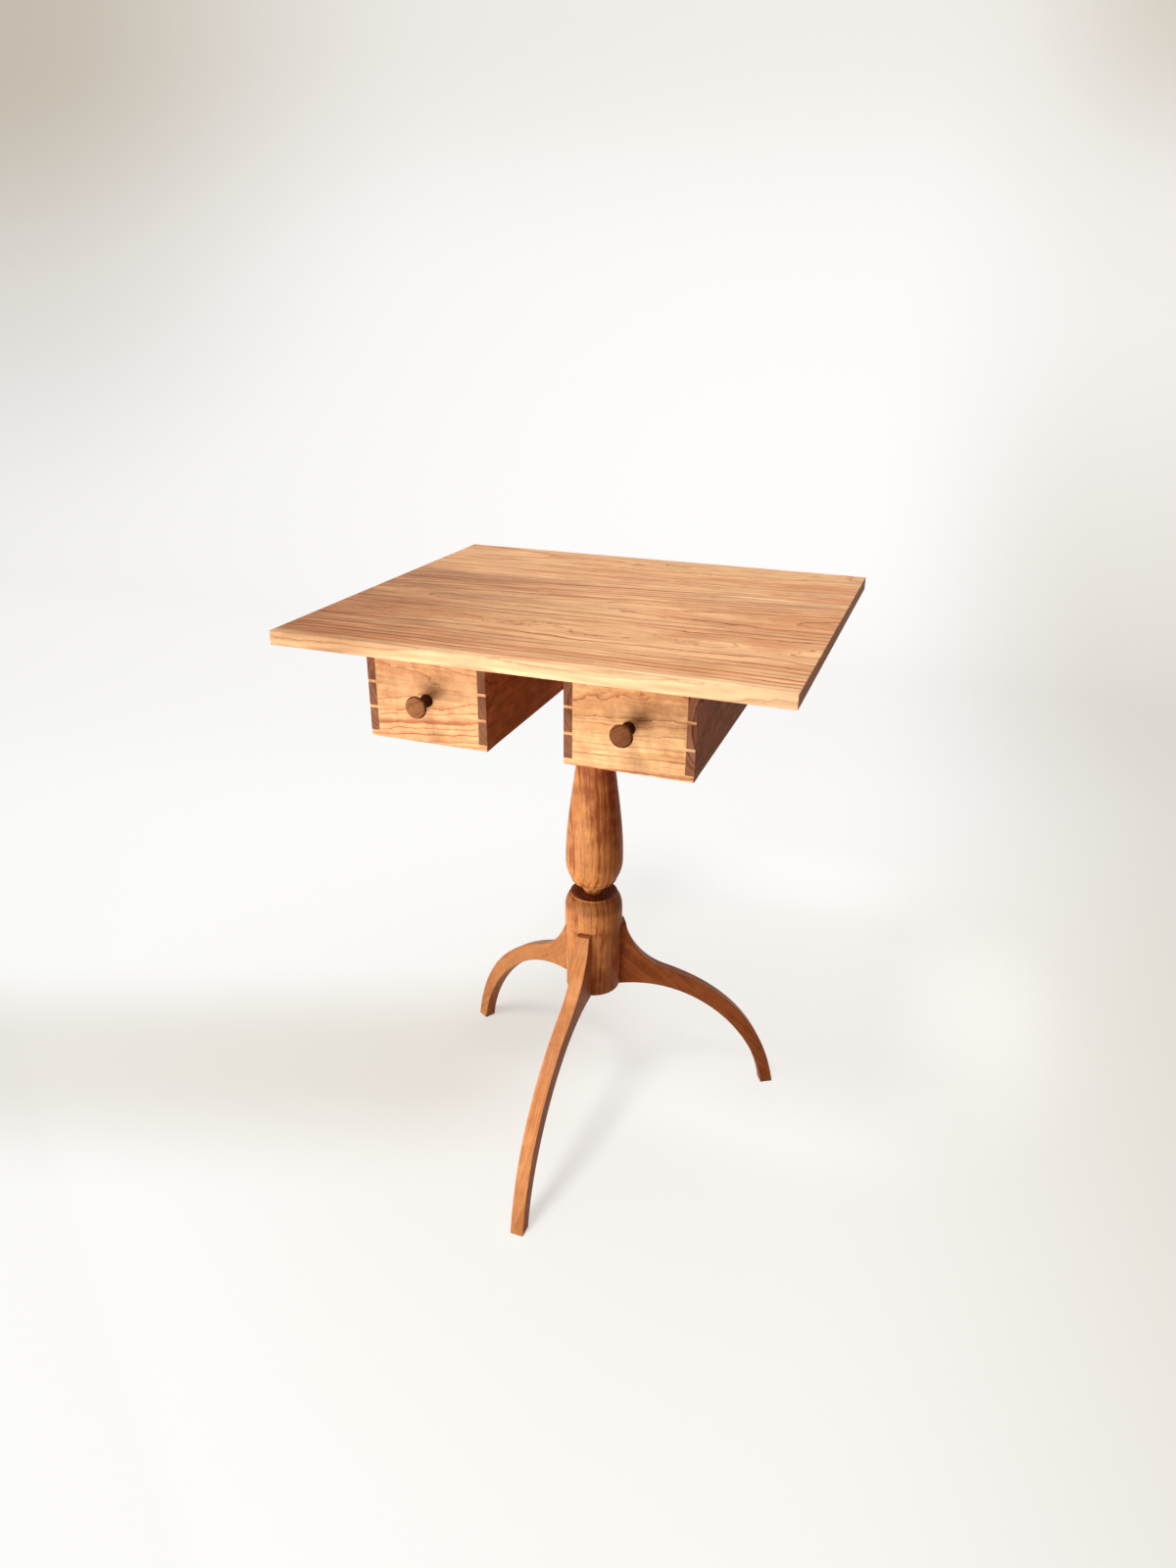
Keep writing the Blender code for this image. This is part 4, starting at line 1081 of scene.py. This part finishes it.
def paper_glow(g):
    """Light painted on the paper, added to what falls on it: more at the back and in a painted pool
    of light behind the stand, less in painted shade at the sides, the corners and a band at the left.
    """
    place = g.node("TexCoord").outputs["Object"]
    parts = g.node("SeparateXYZ", {0: place})
    reach = g.vector("DOT_PRODUCT", place, (-0.3, 1.0, 0))
    bright = g.math("MULTIPLY_ADD", g.step(reach, -0.2, 1.3), 0.085, 0.605)
    bright = g.math("MULTIPLY_ADD", g.step(reach, 1.2, 3.0), 0.075, bright)
    # Painted light: a pool that lightens the top's shadow on the floor behind the stand
    painted_light_pool = g.step(g.distance(place, (0.20, 0.42, 0)), 0.54, 0.20)
    bright = g.math("MULTIPLY_ADD", painted_light_pool, 0.15, bright)

    # Painted shade: darker towards the right side, high on the backdrop and in the corners
    aside = g.step(g.vector("DOT_PRODUCT", place, (1.0, 0.1, 0)), 0.28, 1.13)
    painted_dim = g.math("MULTIPLY", aside, g.math("MULTIPLY_ADD", g.step(parts.outputs[2], 0.0, 1.1), -0.10, 0.17))
    painted_dim = g.math("MULTIPLY_ADD", g.step(parts.outputs[2], 1.1, 2.1), 0.11, painted_dim)
    for centre, outside, inside, depth in CORNER_SHADES:
        painted_dim = g.math("MULTIPLY_ADD", g.step(g.distance(place, centre), outside, inside), depth, painted_dim)
    # Painted shadow: a soft darker band across the floor at the left
    painted_shadow_band = g.math("SUBTRACT", g.vector("DOT_PRODUCT", place, (-0.353, 0.936, 0)), 0.092)
    painted_shadow_band = g.step(g.math("ABSOLUTE", painted_shadow_band), 0.28, 0.03)
    painted_shadow_band = g.math("MULTIPLY", painted_shadow_band, g.step(parts.outputs[0], 0.05, -0.25))
    painted_dim = g.math("MULTIPLY_ADD", painted_shadow_band, 0.15, painted_dim)

    warm = g.step(g.distance(place, (0.4, 0.1, 0)), 1.4, 0.3)
    levels = {}
    for channel, (tint, warmth) in enumerate(SHADE_TINTS):
        level = g.math("MULTIPLY_ADD", painted_dim, -tint, bright)
        levels[channel] = g.math("MULTIPLY_ADD", warm, -warmth, level)
    return g.node("CombineColor", levels).outputs[0]


def make_stage():
    """Pale paper, which gives back only a dim warm light and is clear from below."""
    mesh = stage_mesh()
    obj = bpy.data.objects.new("backdrop", mesh)
    bpy.context.scene.collection.objects.link(obj)
    material = bpy.data.materials.new("pale_paper")
    material.use_nodes = True
    g = Graph(material.node_tree)
    nodes = material.node_tree.nodes
    nodes.remove(nodes["Principled BSDF"])
    paper = g.node("BsdfDiffuse", {"Color": srgb(146, 86, 48)})
    lit = g.node("BsdfDiffuse", {"Color": srgb(160, 162, 160)})
    # The glow paints light and shade onto the paper where it is seen directly
    glow = g.node("Emission", {"Color": paper_glow(g)})
    seen = g.node("AddShader", {0: lit.outputs[0], 1: glow.outputs[0]})
    rays = g.node("LightPath")
    both = g.node("MixShader", {0: g.seen_directly(rays), 1: paper.outputs[0], 2: seen.outputs[0]})
    below = g.math("MULTIPLY", g.node("NewGeometry").outputs["Backfacing"], rays.outputs["Is Camera Ray"])
    clear = g.node("BsdfTransparent")
    surface = g.node("MixShader", {0: below, 1: both.outputs[0], 2: clear.outputs[0]})
    g.feed(nodes["Material Output"].inputs["Surface"], surface.outputs[0])
    mesh.materials.append(material)


def add_light(name, place, target, width, height, power, colour):
    light = bpy.data.lights.new(name, "AREA")
    light.shape = "RECTANGLE"
    light.size = width
    light.size_y = height
    light.energy = power
    light.color = colour
    obj = bpy.data.objects.new(name, light)
    obj.location = place
    obj.rotation_euler = (Vector(target) - Vector(place)).to_track_quat("-Z", "Y").to_euler()
    obj.visible_camera = False
    bpy.context.scene.collection.objects.link(obj)
    return obj


def make_lights():
    """Soft lamps from the front left and above, and a fill from behind that lights the object alone."""
    add_light("floor_bounce", (-0.66, -0.98, 0.11), (-0.54, -0.81, 1.09), 1.4, 1.0, 29, (1.0, 0.965, 0.92))
    add_light("low_window", (-1.9, -3.2, 0.36), (0, 0, 0.4), 2.0, 0.6, 25, (1.0, 0.975, 0.94))
    add_light("window", (-0.70, -2.14, 4.37), (0, 0, 0.3), 1.0, 1.0, 166, (1.0, 0.995, 0.985))
    add_light("ceiling", (0, 0.3, 3.0), (0, 0.3, 0), 3.4, 3.4, 35, (1.0, 0.995, 0.985))
    fill = add_light("back_fill", (-1.4, 2.3, 0.40), (0, 0, 0.5), 2.4, 0.6, 18, (1.0, 0.985, 0.96))
    fill.visible_glossy = False
    pieces = bpy.data.collections.new("pieces")
    for obj in bpy.context.scene.objects:
        if obj.type == "MESH" and obj.name != "backdrop":
            pieces.objects.link(obj)
    fill.light_linking.receiver_collection = pieces


def make_world():
    """A dim warm room, which is seen as pale as the stage."""
    world = bpy.data.worlds.new("room")
    world.use_nodes = True
    g = Graph(world.node_tree)
    nodes = world.node_tree.nodes
    room = nodes["Background"]
    room.inputs["Color"].default_value = srgb(255, 228, 196)
    room.inputs["Strength"].default_value = 0.04
    pale = g.node("Background", {"Color": srgb(238, 235, 229), "Strength": 1.0})
    direct = g.seen_directly(g.node("LightPath"))
    both = g.node("MixShader", {0: direct, 1: room.outputs[0], 2: pale.outputs[0]})
    g.feed(nodes["World Output"].inputs["Surface"], both.outputs[0])
    bpy.context.scene.world = world


def make_camera():
    azimuth, elevation = math.radians(CAMERA_AZIMUTH), math.radians(CAMERA_ELEVATION)
    roll = math.radians(CAMERA_ROLL)
    back = Vector((
        math.sin(azimuth) * math.cos(elevation),
        -math.cos(azimuth) * math.cos(elevation),
        math.sin(elevation),
    ))
    right = Vector((math.cos(azimuth), math.sin(azimuth), 0))
    up = back.cross(right)
    turned_right = right * math.cos(roll) + up * math.sin(roll)
    turned_up = up * math.cos(roll) - right * math.sin(roll)
    data = bpy.data.cameras.new("camera")
    data.sensor_width = SENSOR
    data.lens = FOCAL_PX * SENSOR / PHOTO_HEIGHT_PX
    data.clip_end = 50
    camera = bpy.data.objects.new("camera", data)
    turn = Matrix((turned_right, turned_up, back)).transposed()
    camera.matrix_world = Matrix.Translation(CAMERA_TARGET + back * CAMERA_DISTANCE) @ turn.to_4x4()
    bpy.context.scene.collection.objects.link(camera)
    bpy.context.scene.camera = camera


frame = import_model()
make_top()
make_post()
for leg_name, leg_look, leg_seed in (("front", SAWN, 41), ("right", RED_AND_SHADED, 44), ("left", SAWN, 47)):
    make_leg(leg_name, LEG_ANGLES[leg_name], leg_look, leg_seed)
# Each front's painted shade darkens its outer end, to stand for the light falling off across the fronts
make_drawer("left_drawer", -1, 71, FRONT, PALE_KNOB, dict(
    pith=(0.018, 0.040), ring=0.0056, taper=0.09, sway=0.006, waver=0.0030, late=0.0009, figure=1.2,
    painted_shade=[(0.03, -0.07, 0.12)],
))
make_drawer("right_drawer", 1, 83, PAINTED_LIGHT_FRONT, DARK_KNOB, dict(
    pith=(0.036, 0.050), ring=0.0056, taper=0.03, sway=0.005, waver=0.0024, late=0.0009, figure=1.2,
    painted_shade=[(-0.01, 0.07, 0.16)],
))
make_screws(brass())
make_hidden_woods()
make_stage()
make_lights()
make_world()
make_camera()
bpy.context.scene.view_settings.view_transform = "Standard"
bpy.context.view_layer.update()
